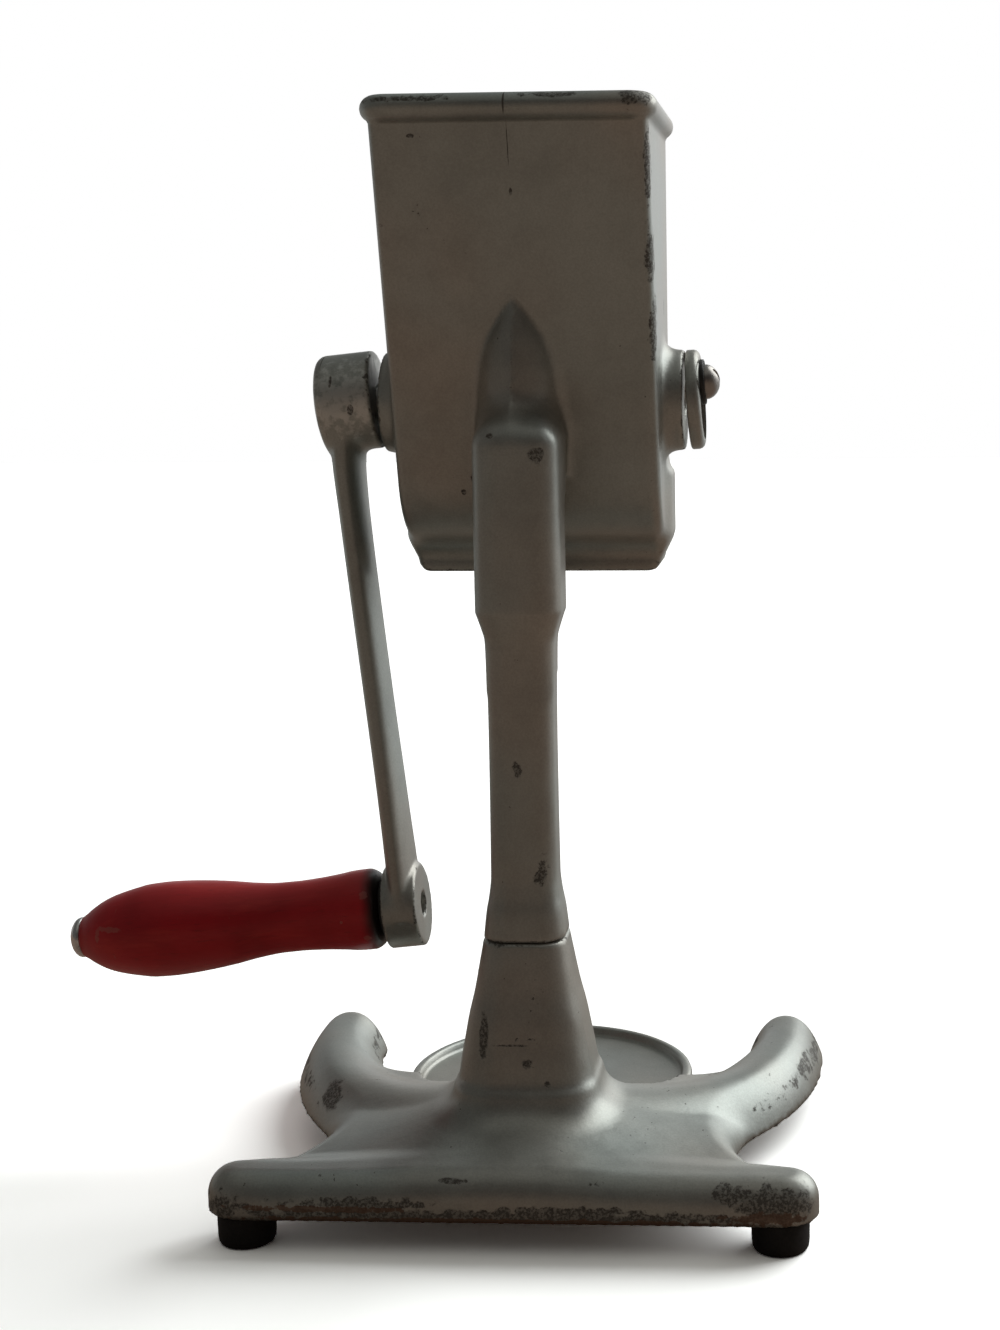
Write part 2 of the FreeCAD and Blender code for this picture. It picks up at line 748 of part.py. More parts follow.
def dome(diameter, height, start, axis):
    """Spherical cap standing on start along axis."""
    radius = diameter / 2.0
    sphere = (radius ** 2 + height ** 2) / (2 * height)
    middle_turn = math.asin(radius / sphere) / 2.0
    profile = Part.Wire([
        Part.LineSegment(V(0, 0, 0), V(radius, 0, 0)).toShape(),
        Part.Arc(V(radius, 0, 0),
                 V(sphere * math.sin(middle_turn), 0,
                   height - sphere + sphere * math.cos(middle_turn)),
                 V(0, 0, height)).toShape(),
        Part.LineSegment(V(0, 0, height), V(0, 0, 0)).toShape(),
    ])
    solid = Part.Face(profile).revolve(V(0, 0, 0), Z_AXIS, 360)
    solid.Placement = FreeCAD.Placement(start, FreeCAD.Rotation(Z_AXIS, axis))
    return solid


def crank_placed(shape):
    """Move a shape from the crank's own frame to the shaft, leaning."""
    moved = shape.copy()
    moved.rotate(V(0, 0, 0), Y_AXIS, -crank_lean_deg)
    moved.translate(V(hub_centre_x, shaft_y, shaft_height))
    return moved


def arm_section(share):
    """Oval section of the arm at a share of the way down, in the crank's frame. The arm
    thins quickly below the hub and grows again, less, towards the lower boss."""
    if share < arm_waist_share:
        grown = (1 - share / arm_waist_share) ** 3
        more_thickness = arm_root_thickness - arm_waist_thickness
        more_width = arm_root_width - arm_waist_width
    else:
        grown = ((share - arm_waist_share) / (1 - arm_waist_share)) ** 2
        more_thickness = arm_foot_thickness - arm_waist_thickness
        more_width = arm_foot_width - arm_waist_width
    half_x = (arm_waist_thickness + grown * more_thickness) / 2.0
    half_y = (arm_waist_width + grown * more_width) / 2.0
    centre = V(arm_outer_face + half_x, 0, -share * crank_radius)
    oval = Part.Ellipse(centre + V(0, half_y, 0), centre + V(half_x, 0, 0), centre)
    return Part.Wire(oval.toShape())


def bevelled_bar(diameter, length, start, bevel):
    """Round bar along X from start, with both ends bevelled."""
    radius = diameter / 2.0
    profile = [(0.0, 0.0), (0.0, radius - bevel), (bevel, radius), (length - bevel, radius),
               (length, radius - bevel), (length, 0.0)]
    return revolve_profile([start + V(x, 0, r) for x, r in profile], start, X_AXIS)


def crank_arm():
    """Hub, arm and lower boss of the crank in one casting."""
    hub = bevelled_bar(hub_diameter, hub_length, V(-hub_length / 2.0, 0, 0), hub_edge_bevel)
    boss = bevelled_bar(lower_boss_diameter, lower_boss_length,
                        V(lower_boss_outer_face, 0, -crank_radius), lower_boss_edge_bevel)
    shares = (0.05, 0.1, 0.15, 0.21, 0.3, 0.42, 0.57, 0.72, 0.85, 0.97)
    arm = loft([arm_section(share) for share in shares])
    crank = crank_placed(fuse_all([hub, boss, arm]))
    bore = cylinder(shaft_diameter, 4 * hub_length,
                    V(hub_centre_x - 2 * hub_length, shaft_y, shaft_height), X_AXIS)
    return crank.cut([bore, set_screw_hole(), handle_bolt()]).cut(crank_placed(bolt_recess()))


def bolt_recess():
    """Open end of the lower boss's hole, in the crank's frame."""
    return cylinder(handle_bolt_diameter, lower_boss_length,
                    V(lower_boss_outer_face + lower_boss_length - handle_bolt_recess - 1, 0,
                      -crank_radius), X_AXIS)


def crank_set_screw():
    """Headless screw through the front of the hub onto the shaft."""
    start = V(hub_centre_x, shaft_y + shaft_diameter / 2.0, shaft_height)
    screw = cylinder(set_screw_diameter, set_screw_length, start, Y_AXIS)
    slot = block(start.x - 4, start.x + 4, start.y + set_screw_length - 1.5,
                 start.y + set_screw_length + 1, start.z - 0.5, start.z + 0.5)
    return screw.cut(slot)


def set_screw_hole():
    """Hole for the set screw, open to the front."""
    start = V(hub_centre_x, shaft_y + shaft_diameter / 2.0 - 1, shaft_height)
    return cylinder(set_screw_diameter, hub_diameter, start, Y_AXIS)


def thrust_washer():
    """Thin ring between the crank's hub and the boss."""
    start = V(-crank_boss_face, shaft_y, shaft_height)
    ring = cylinder(thrust_washer_diameter, thrust_washer_thickness, start, -X_AXIS)
    return ring.cut(cylinder(shaft_diameter + 2 * running_clearance, thrust_washer_thickness,
                             start, -X_AXIS))


def grip_start():
    """Inner end of the grip along the crank frame's x."""
    return lower_boss_outer_face - handle_washer_thickness - seat_gap


def handle_grip():
    """Turned wooden grip, open along its bolt."""
    inner = grip_start()
    profile = Part.BSplineCurve()
    shares = [(0.0, grip_end_radius + 3.2), (0.012, grip_end_radius + 5.2),
              (0.06, grip_collar_radius), (0.24, grip_waist_radius + 0.25),
              (0.34, grip_waist_radius + 0.1), (0.55, grip_waist_radius + 3.3),
              (0.71, grip_bulb_radius), (0.87, grip_bulb_radius - 2.4),
              (0.96, grip_end_radius + 3.6), (1.0, grip_end_radius)]
    profile.interpolate(Points=[V(inner - share * grip_length, 0, radius)
                                for share, radius in shares])
    bore = handle_bolt_diameter / 2.0 + running_clearance
    outer = inner - grip_length
    wire = Part.Wire([
        profile.toShape(),
        Part.LineSegment(profile.EndPoint, V(outer, 0, bore)).toShape(),
        Part.LineSegment(V(outer, 0, bore), V(inner, 0, bore)).toShape(),
        Part.LineSegment(V(inner, 0, bore), profile.StartPoint).toShape(),
    ])
    grip = Part.Face(wire).revolve(V(0, 0, 0), X_AXIS, 360)
    grip.translate(V(0, 0, -crank_radius))
    return crank_placed(grip)


def handle_bolt():
    """Long bolt with a domed head, through the grip into the lower boss."""
    head_x = grip_start() - grip_length - seat_gap
    end_x = lower_boss_outer_face + lower_boss_length - handle_bolt_recess
    shank = cylinder(handle_bolt_diameter, end_x - head_x, V(head_x, 0, -crank_radius), X_AXIS)
    head = dome(handle_bolt_head_diameter, handle_bolt_head_height,
                V(head_x, 0, -crank_radius), -X_AXIS)
    return crank_placed(fuse_all([shank, head]))


def handle_washer():
    """Washer between the grip and the lower boss."""
    start = V(lower_boss_outer_face, 0, -crank_radius)
    ring = cylinder(handle_washer_diameter, handle_washer_thickness, start, -X_AXIS)
    ring = ring.cut(cylinder(handle_bolt_diameter + drill_clearance, handle_washer_thickness,
                             start, -X_AXIS))
    return crank_placed(ring)


def cap_placed(shape):
    """Move a shape from the cap's own frame onto the right boss, tilted."""
    reach = cap_diameter / 2.0 * math.sin(math.radians(cap_tilt_deg))
    moved = shape.copy()
    moved.rotate(V(0, 0, 0), Y_AXIS, -cap_tilt_deg)
    moved.translate(V(cap_boss_face + seat_gap + reach, shaft_y, shaft_height))
    return moved


def cap_screw_axis(x):
    """Point on the cap screw's axis, in the cap's frame."""
    side = math.sqrt(cap_screw_radius ** 2 - cap_screw_rise ** 2)
    return V(x, -side, cap_screw_rise)


def cap_screw_bar(diameter):
    """Bar along the cap screw from the boss to the outside of the lock washer."""
    length = cap_screw_hold + cap_thickness + lock_washer_thickness
    return cap_placed(cylinder(diameter, length, cap_screw_axis(-cap_screw_hold), X_AXIS))


def bearing_cap():
    """Disc over the end of the shaft."""
    disc = cylinder(cap_diameter, cap_thickness, V(0, 0, 0), X_AXIS)
    disc = fillet_edges(disc, cap_edge_radius,
                        lambda edge: edge.BoundBox.XMin > cap_thickness - 0.01
                        and edge.Curve.TypeId == "Part::GeomCircle")
    return cap_placed(disc).cut(cap_screw_bar(cap_screw_diameter + 2 * drill_clearance))


def lock_washer():
    """Lock washer under the cap screw's head."""
    start = cap_screw_axis(cap_thickness)
    ring = cap_placed(cylinder(lock_washer_diameter, lock_washer_thickness, start, X_AXIS))
    return ring.cut(cap_screw_bar(cap_screw_diameter + 2 * drill_clearance))


def cap_screw():
    """Domed screw that holds the cap."""
    head = dome(cap_screw_head_diameter, cap_screw_head_height,
                cap_screw_axis(cap_thickness + lock_washer_thickness), X_AXIS)
    return fuse_all([cap_screw_bar(cap_screw_diameter), cap_placed(head)])


def all_parts():
    """Every sub-part by its name."""
    parts = {
        "base_casting": base_casting(),
        "body_casting": body_casting(),
        "post_bolt": post_bolt(),
        "post_bolt_washer": post_bolt_washer(),
        "rotor_shaft": rotor_shaft(),
        "rotor_drum": rotor_drum(),
        "rotor_cross_pin": cross_pin(),
        "breaker_comb": breaker_comb(),
        "crank_arm": crank_arm(),
        "crank_set_screw": crank_set_screw(),
        "thrust_washer": thrust_washer(),
        "handle_grip": handle_grip(),
        "handle_bolt": handle_bolt(),
        "handle_washer": handle_washer(),
        "bearing_cap": bearing_cap(),
        "lock_washer": lock_washer(),
        "cap_screw": cap_screw(),
    }
    for name, place in foot_places().items():
        parts["foot_" + name] = rubber_foot(place)
        parts["foot_screw_" + name] = foot_screw(place)
    for row in range(pick_rows):
        parts["pick_row_%d" % (row + 1)] = pick_row(row)
    for name, x in zip(("left", "right"), comb_screw_places()):
        parts["comb_screw_" + name] = comb_screw(x)
    for shape in parts.values():
        shape.translate(V(0, -plate_y, -plate_height))
    return parts


if __name__ == "__main__":
    os.makedirs("parts", exist_ok=True)
    for name, shape in all_parts().items():
        print(name, shape.isValid(), len(shape.Solids), round(shape.Volume, 1))
        shape.exportStep("parts/%s.step" % name)
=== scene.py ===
"""Looks of the hand crank ice crusher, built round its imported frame.

Every size here is in millimetres with the post's axis at x = y = 0 and the floor at z = 0,
as the object is measured. placed() turns that into the frame's metres, whose origin is the
centre of the glass plate's top. The three castings are level surfaces of distance fields, so
that their webs, flares and bosses run into one another as they do in sand-cast metal.
"""
import math

import bpy
import numpy as np
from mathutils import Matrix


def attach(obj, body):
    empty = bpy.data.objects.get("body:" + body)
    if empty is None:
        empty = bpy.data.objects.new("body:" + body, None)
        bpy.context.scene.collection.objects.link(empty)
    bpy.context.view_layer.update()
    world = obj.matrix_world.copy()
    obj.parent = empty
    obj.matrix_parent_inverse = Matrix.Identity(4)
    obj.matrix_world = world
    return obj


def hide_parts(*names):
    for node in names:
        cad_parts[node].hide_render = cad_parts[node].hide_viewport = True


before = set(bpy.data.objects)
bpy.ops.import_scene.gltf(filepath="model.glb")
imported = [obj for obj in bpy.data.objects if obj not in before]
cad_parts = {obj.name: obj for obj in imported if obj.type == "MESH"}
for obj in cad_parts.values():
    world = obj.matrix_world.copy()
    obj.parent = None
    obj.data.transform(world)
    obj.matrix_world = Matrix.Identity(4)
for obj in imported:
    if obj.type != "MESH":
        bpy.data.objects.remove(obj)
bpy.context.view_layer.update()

import openvdb
from mathutils import Matrix, Vector

PLATE_Y = 54.0
PLATE_Z = 17.5
MM = 0.001


# ---------------------------------------------------------------- places and meshes

def placed(points):
    """Millimetres from the post's foot to the frame's metres."""
    return (np.asarray(points, float) - (0.0, PLATE_Y, PLATE_Z)) * MM


def make_piece(name, points, faces, body, slot, material, replaces=()):
    """One object from points in millimetres and a table of faces with equal corner counts."""
    faces = np.asarray(faces, np.int32)
    corners = faces.shape[1]
    mesh = bpy.data.meshes.new(name)
    mesh.vertices.add(len(points))
    mesh.vertices.foreach_set("co", placed(points).astype(np.float32).ravel())
    mesh.loops.add(faces.size)
    mesh.loops.foreach_set("vertex_index", faces.ravel())
    mesh.polygons.add(len(faces))
    mesh.polygons.foreach_set("loop_start", np.arange(0, faces.size, corners, dtype=np.int32))
    mesh.polygons.foreach_set("use_smooth", np.ones(len(faces), bool))
    mesh.update(calc_edges=True)
    mesh.validate()
    mesh.materials.append(material)
    piece = bpy.data.objects.new(name, mesh)
    bpy.context.scene.collection.objects.link(piece)
    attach(piece, body)
    if replaces:
        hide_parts(*replaces)
    return piece


def outward(points, faces):
    """The same faces, turned over if the closed surface has a negative volume."""
    a, b, c = (points[faces[:, k]] for k in range(3))
    volume = np.einsum("ij,ij->i", a, np.cross(b, c)).sum()
    if faces.shape[1] == 4:
        d = points[faces[:, 3]]
        volume += np.einsum("ij,ij->i", a, np.cross(c, d)).sum()
    return faces if volume > 0 else faces[:, ::-1]


def ring_faces(rows, around):
    """Four-cornered faces between neighbouring rings of points."""
    i, j = np.meshgrid(np.arange(rows - 1), np.arange(around), indexing="ij")
    k = (j + 1) % around
    return np.stack([i * around + j, i * around + k, (i + 1) * around + k, (i + 1) * around + j],
                    -1).reshape(-1, 4)


def turned(profile, start, axis, around):
    """Surface of revolution: point (s, r) of the profile at angle t is start + s*axis
    + r*(cos t * side + sin t * other)."""
    profile = np.asarray(profile, float)
    axis = np.asarray(axis, float) / np.linalg.norm(axis)
    side = np.cross(axis, (0.0, 1.0, 0.0) if abs(axis[1]) < 0.9 else (1.0, 0.0, 0.0))
    side /= np.linalg.norm(side)
    other = np.cross(axis, side)
    turn = np.linspace(0.0, 2.0 * np.pi, around, endpoint=False)
    ring = np.cos(turn)[:, None] * side + np.sin(turn)[:, None] * other
    points = (np.asarray(start, float) + profile[:, 0, None, None] * axis
              + profile[:, 1, None, None] * ring)
    return points.reshape(-1, 3), ring_faces(len(profile), around)


def merged(points, faces):
    """The same surface with coincident points made one. A face that loses a corner by this, as
    all those at a pole do, is dropped by make_piece's validate(), so poles stay open."""
    keys = np.round(points / 0.0005).astype(np.int64)
    _, first, back = np.unique(keys, axis=0, return_index=True, return_inverse=True)
    faces = back.reshape(-1)[faces]
    return points[first], faces


def seamed(points, faces):
    """A turned surface with coincident points made one and its faces turned outwards."""
    points, faces = merged(points, faces)
    return points, outward(points, faces)


def joined(parts):
    """Several closed surfaces as one table of points and faces."""
    points, faces, count = [], [], 0
    for some_points, some_faces in parts:
        points.append(some_points)
        faces.append(some_faces + count)
        count += len(some_points)
    return np.concatenate(points), np.concatenate(faces)


def turned_piece(name, profile, start, axis, body, slot, material, replaces=(), around=96):
    """A turned surface as an object."""
    points, faces = seamed(*turned(profile, start, axis, around))
    make_piece(name, points, faces, body, slot, material, replaces)


def smooth_line(places, values):
    """A function through the given values, by cubic pieces whose slopes never overshoot."""
    places, values = np.asarray(places, float), np.asarray(values, float)
    steps = np.diff(places)
    slopes = np.diff(values) / steps
    inner = np.where(slopes[:-1] * slopes[1:] > 0,
                     2.0 * slopes[:-1] * slopes[1:] / (slopes[:-1] + slopes[1:] + 1e-12), 0.0)
    ends = np.concatenate([[slopes[0]], inner, [slopes[-1]]])

    def read(where):
        where = np.clip(where, places[0], places[-1])
        k = np.clip(np.searchsorted(places, where, side="right") - 1, 0, len(steps) - 1)
        t = (where - places[k]) / steps[k]
        return (values[k] * (2 * t ** 3 - 3 * t ** 2 + 1)
                + values[k + 1] * (3 * t ** 2 - 2 * t ** 3)
                + steps[k] * (ends[k] * (t ** 3 - 2 * t ** 2 + t)
                              + ends[k + 1] * (t ** 3 - t ** 2)))

    return read


# ---------------------------------------------------------------- distance fields

def soft_min(a, b, blend):
    """Union of two fields with a cove of about the blend's size between them."""
    h = np.clip(0.5 + 0.5 * (b - a) / blend, 0.0, 1.0)
    return b + (a - b) * h - blend * h * (1.0 - h)


def round_max(a, b, radius):
    """Overlap of two fields with its edge rounded to a radius."""
    inside = np.minimum(np.maximum(a, b), -radius)
    return inside + np.hypot(np.maximum(a + radius, 0.0), np.maximum(b + radius, 0.0))


def rounded_box(x, y, half_x, half_y, radius):
    """Distance in a plane to a rectangle with rounded corners."""
    qx, qy = np.abs(x) - half_x + radius, np.abs(y) - half_y + radius
    return (np.minimum(np.maximum(qx, qy), 0.0)
            + np.hypot(np.maximum(qx, 0.0), np.maximum(qy, 0.0)) - radius)


def smooth_step(low, high, value):
    """0 below low, 1 above high, smooth between."""
    t = np.clip((value - low) / (high - low), 0.0, 1.0)
    return t * t * (3.0 - 2.0 * t)


def gradient(field, points, step=0.04):
    """Central differences of a field at points."""
    parts = []
    for k in range(3):
        shift = np.zeros(3)
        shift[k] = step
        parts.append((field(*(points + shift).T) - field(*(points - shift).T)) / (2 * step))
    return np.stack(parts, 1)


def level_surface(field, low, high, voxel, passes=4):
    """Closed surface where the field is zero. A volume gives the quads, and each point is then
    moved along the field's gradient until it lies on the surface itself."""
    low, high = np.asarray(low, float), np.asarray(high, float)
    counts = np.ceil((high - low) / voxel).astype(int) + 1
    x, y, z = (low[k] + voxel * np.arange(counts[k]) for k in range(3))
    values = field(x[:, None, None], y[None, :, None], z[None, None, :]).astype(np.float32)
    grid = openvdb.FloatGrid(3.0 * voxel)
    grid.copyFromArray(np.ascontiguousarray(values))
    points, quads = grid.convertToQuads(0.0)
    points = np.asarray(points, float) * voxel + low
    for _ in range(passes):
        value = field(*points.T)
        slope = gradient(field, points)
        size = np.maximum((slope ** 2).sum(1), 0.05)
        move = slope * (value / size)[:, None]
        length = np.linalg.norm(move, axis=1, keepdims=True)
        points -= move * np.minimum(1.0, 0.6 * voxel / np.maximum(length, 1e-9))
    quads = np.asarray(quads, np.int64)
    return points, outward(points, quads)


def edge_measure(field, points, reach=1.2):
    """How sharply the surface bends outwards at its points, from the field's second
    differences: about 0 on flats, positive on outer edges, negative in coves."""
    total = -6.0 * field(*points.T)
    for k in range(3):
        shift = np.zeros(3)
        shift[k] = reach
        total += field(*(points + shift).T) + field(*(points - shift).T)
    return total / reach


# ---------------------------------------------------------------- base casting

FOOT_TOP = 10.5
FOOT_PAD_R, FOOT_PAD_TOP = 6.5, 21.0
FEET = {"rear_left": (-83.5, -43.5), "rear_right": (83.5, -43.5),
        "front_left": (-81.5, 95.0), "front_right": (81.5, 95.0)}
SEAM_Z, SEAM_GAP = 86.5, 0.15
PEDESTAL_HALF = smooth_line([10, 38.6, 42, 49, 55, 61, 70, 77, 86.5],
                            [23.6, 23.2, 21.9, 20.7, 19.6, 18.5, 16.4, 15.1, 13.35])


def arc(centre, radius, start_deg, stop_deg, step=0.8):
    """Points along an arc in plan."""
    count = max(int(abs(math.radians(stop_deg - start_deg)) * radius / step), 2)
    turn = np.radians(np.linspace(start_deg, stop_deg, count))
    return np.stack([centre[0] + radius * np.cos(turn), centre[1] + radius * np.sin(turn)], 1)


def base_outline():
    """Plan of the base from tangent arcs: bar end, waist, outer leg, leg end, inner leg."""
    bar, bar_r = np.array([84.5, -42.5]), 11.0
    leg_end, leg_r = np.array([82.6, 95.5]), 15.1
    outer, outer_r = np.array([-32.5, 90.5]), 130.2
    inner, inner_r = np.array([22.5, 95.5]), 45.0
    waist_x, low, high = 68.3, 1.0, 400.0
    for _ in range(60):
        radius = (low + high) / 2.0
        to_bar = math.sqrt((95.5 - waist_x) * (2 * radius + bar_r + waist_x - bar[0]))
        to_leg = math.sqrt((97.7 - waist_x) * (2 * radius + outer_r + waist_x - outer[0]))
        if to_bar + to_leg > outer[1] - bar[1]:
            high = radius
        else:
            low = radius
    waist = np.array([waist_x + radius, bar[1] + to_bar])
    bar_turn = math.degrees(math.atan2(*(waist - bar)[::-1]))
    leg_turn = math.degrees(math.atan2(*(waist - outer)[::-1]))
    right = np.concatenate([
        arc(bar, bar_r, -90, bar_turn),
        arc(waist, radius, bar_turn + 180, leg_turn + 180),
        arc(outer, outer_r, leg_turn, 0),
        arc(leg_end, leg_r, 0, 180),
        arc(inner, inner_r, 0, -62),
    ])
    left = right[::-1] * (-1, 1)
    loop = np.concatenate([right, left])
    following = np.roll(loop, -1, 0)
    pieces = np.maximum(np.linalg.norm(following - loop, axis=1) / 0.8, 1).astype(int)
    return np.concatenate([a + (b - a) * np.linspace(0, 1, n, endpoint=False)[:, None]
                           for a, b, n in zip(loop, following, pieces)])


def inside_loop(x, y, loop):
    """Whether points lie inside a closed line, by counting crossings."""
    after = np.roll(loop, -1, 0)
    inside = np.zeros(x.shape, bool)
    for (x0, y0), (x1, y1) in zip(loop, after):
        if y0 != y1:
            crosses = (y0 > y) != (y1 > y)
            inside ^= crosses & (x < (x1 - x0) * (y - y0) / (y1 - y0) + x0)
    return inside


def leg_line():
    """Middle line of the right leg in plan, from its tip to the pedestal."""
    outer = arc((-32.5, 90.5), 115.2, 3, -24)
    tail = np.array([[60.0, 27.0], [47.0, 16.0], [33.0, 9.0], [18.0, 4.0]])
    line = np.concatenate([outer, tail])
    length = np.concatenate([[0], np.cumsum(np.linalg.norm(np.diff(line, axis=0), axis=1))])
    reads = [smooth_line(length, line[:, k]) for k in range(2)]
    along = np.linspace(0, length[-1], 160)
    return np.stack([read(along) for read in reads], 1)


class PlanTable:
    """Values over the plan, worked out once on a fine grid and read between its points."""

    def __init__(self, low, high, step):
        self.low, self.step = np.asarray(low, float), step
        self.shape = tuple(int(math.ceil((high[k] - low[k]) / step)) + 1 for k in range(2))
        self.x, self.y = np.meshgrid(*(low[k] + step * np.arange(self.shape[k]) for k in range(2)),
                                     indexing="ij")

    def nearest(self, line):
        """Distance to the nearest point of a line, and that point's place along it."""
        points = np.stack([self.x.ravel(), self.y.ravel()], 1)
        best = np.full(len(points), 1e9)
        which = np.zeros(len(points), int)
        for start in range(0, len(line), 40):
            part = line[start:start + 40]
            square = ((points[:, None, :] - part[None]) ** 2).sum(-1)
            index = square.argmin(1)
            value = square[np.arange(len(points)), index]
            closer = value < best
            best[closer], which[closer] = value[closer], index[closer] + start
        return np.sqrt(best).reshape(self.shape), (which / (len(line) - 1)).reshape(self.shape)

    def reader(self, values):
        """Function that reads the table at any x, y."""
        def read(x, y):
            u = np.clip((x - self.low[0]) / self.step, 0, self.shape[0] - 1.001)
            v = np.clip((y - self.low[1]) / self.step, 0, self.shape[1] - 1.001)
            i, j = u.astype(int), v.astype(int)
            s, t = u - i, v - j
            return ((values[i, j] * (1 - s) + values[i + 1, j] * s) * (1 - t)
                    + (values[i, j + 1] * (1 - s) + values[i + 1, j + 1] * s) * t)
        return read


plan = PlanTable((-100.0, -58.0), (100.0, 114.0), 1.0)
outline = base_outline()
to_outline, _ = plan.nearest(outline)
to_outline[inside_loop(plan.x, plan.y, outline)] *= -1.0
right_leg = leg_line()
to_right, along_right = plan.nearest(right_leg)
to_left, along_left = to_right[::-1], along_right[::-1]


def base_top():
    """Height of the base's upper side over the plan: a flare that sinks away from the
    pedestal, the crest of the bar and the crests of both legs, run together."""
    away = np.hypot(plan.x, plan.y)
    top = 14.6 + 17.4 * np.exp(-(away - 26.0) / 48.0)
    bar = 24.0 - 0.035 * np.maximum(np.abs(plan.y + 44.0) - 3.0, 0.0) ** 2
    top = -soft_min(-top, -bar, 5.0)
    for to_leg, along in ((to_right, along_right), (to_left, along_left)):
        crest = 26.2 + 1.6 * smooth_step(0.45, 0.95, along)
        width = 16.0 + 2.6 * along
        leg = crest - width + np.sqrt(np.maximum(width ** 2 - to_leg ** 2, 0.0))
        leg -= 0.7 * np.maximum(to_leg - width, 0.0)
        top = -soft_min(-top, -leg, 6.0)
    return top


read_outline = plan.reader(to_outline)
read_top = plan.reader(base_top())


def base_field(x, y, z):
    """The base casting: slab with a rounded edge, pedestal, plate and the hollow below."""
    x, y, z = np.broadcast_arrays(x, y, z)
    edge = read_outline(x, y)
    top = read_top(x, y)
    rounding = 8.0 + 5.0 * smooth_step(-30.0, 25.0, y)
    slab = round_max(edge, (z - top) * 0.94, rounding)
    plate = np.hypot(x, y - PLATE_Y)
    recess = np.maximum(plate - 46.4, 17.0 - z)
    skirt = np.maximum(slab, -recess)
    half = PEDESTAL_HALF(z)
    pedestal = rounded_box(x, y, half, half, 0.64 * half) * 0.97
    body = soft_min(skirt, pedestal, 9.0)
    body = round_max(body, z - (SEAM_Z - SEAM_GAP), 0.7)
    disc = np.maximum(plate - 49.0, z - 17.2)
    body = soft_min(body, disc, 0.8)
    roof = np.minimum(top - 4.2, 20.3)
    under = round_max(edge + 4.5, z - roof, 2.0)
    under = np.maximum(under, 49.5 - plate)
    under_plate = round_max(plate - 45.5, z - 13.0, 1.0)
    inner = np.maximum(half - 5.0, 6.0)
    inside = np.maximum(rounded_box(x, y, inner, inner, 0.6 * inner), z - 71.5)
    hollow = np.minimum(np.minimum(under, under_plate), inside)
    body = round_max(body, -hollow, 0.6)
    body = np.maximum(body, 4.95 - np.hypot(x, y))
    for foot in ("rear_right", "front_right"):
        pad = np.hypot(np.abs(x) - FEET[foot][0], y - FEET[foot][1]) - FOOT_PAD_R
        body = np.minimum(body, np.maximum(pad, z - FOOT_PAD_TOP))
    return np.maximum(body, FOOT_TOP - z)


def plate_rim():
    """Raised rim and floor of the glass plate, turned about the plate's axis."""
    profile = [(12.0, 0.0), (17.5, 0.0), (17.5, 20.0), (17.55, 44.8), (17.8, 45.9), (18.6, 46.3),
               (19.9, 46.6), (20.35, 47.1), (20.5, 47.9), (20.4, 48.8), (19.9, 49.6),
               (18.9, 50.0), (11.4, 50.0), (10.6, 49.4), (10.5, 48.6), (10.5, 46.0), (12.0, 45.6),
               (12.0, 0.0)]
    return merged(*turned(profile, (0.0, PLATE_Y, 0.0), (0.0, 0.0, 1.0), 240))


# ---------------------------------------------------------------- body casting

LEAN = math.radians(15.8)
BEND_Y, BEND_Z, BEND_R = 49.18, 240.17, 30.0
WALL = 3.8
HALF_WIDTH = 43.8
FRONT_Y = 66.0
SHAFT_Y, SHAFT_Z = 40.0, 259.0
BOSS_LEFT, BOSS_RIGHT = 50.2, 51.2
BACK_Y, BACK_Z = -13.5, 351.5
MOUTH_Y, MOUTH_Z, THROAT_Z = 44.5, 201.0, 232.0
POST_HALF = smooth_line(
    [86.5, 95.6, 100.7, 107, 150, 177, 183.8, 188, 191.4, 193.5, 242, 256],
    [13.35, 12.3, 11.4, 10.8, 10.6, 10.85, 11.1, 12.25, 13.35, 13.95, 13.9, 13.7])
KEEL_X, KEEL_TIP_Z = -1.3, 292.5
KEEL_HALF = smooth_line([240, 250, 262, 269, 277.5, 285, 290, 292.5],
                        [14.2, 14.2, 13.6, 12.8, 10.2, 5.9, 2.3, 0.5])
KEEL_DEPTH = smooth_line([240, 250, 256, 262, 277.5, 285, 290, 292.5],
                         [22.0, 20.5, 18.2, 15.6, 8.6, 4.6, 1.7, 0.4])


def back_wall(z):
    """Outer face of the sloping back wall."""
    return BACK_Y + (BACK_Z - z) * math.tan(LEAN)


def chute_side(y, z, radius):
    """Distance in side view to the back wall, its bend and the level belly, for a bend of a
    given radius about one fixed centre."""
    v, w = y - BEND_Y, z - BEND_Z
    to_back = -v * math.cos(LEAN) - w * math.sin(LEAN)
    to_belly = -w
    past_back = v * math.sin(LEAN) - w * math.cos(LEAN) > 0
    on_bend = past_back & (v < 0)
    return np.where(on_bend, np.hypot(v, w), np.maximum(to_back, to_belly)) - radius


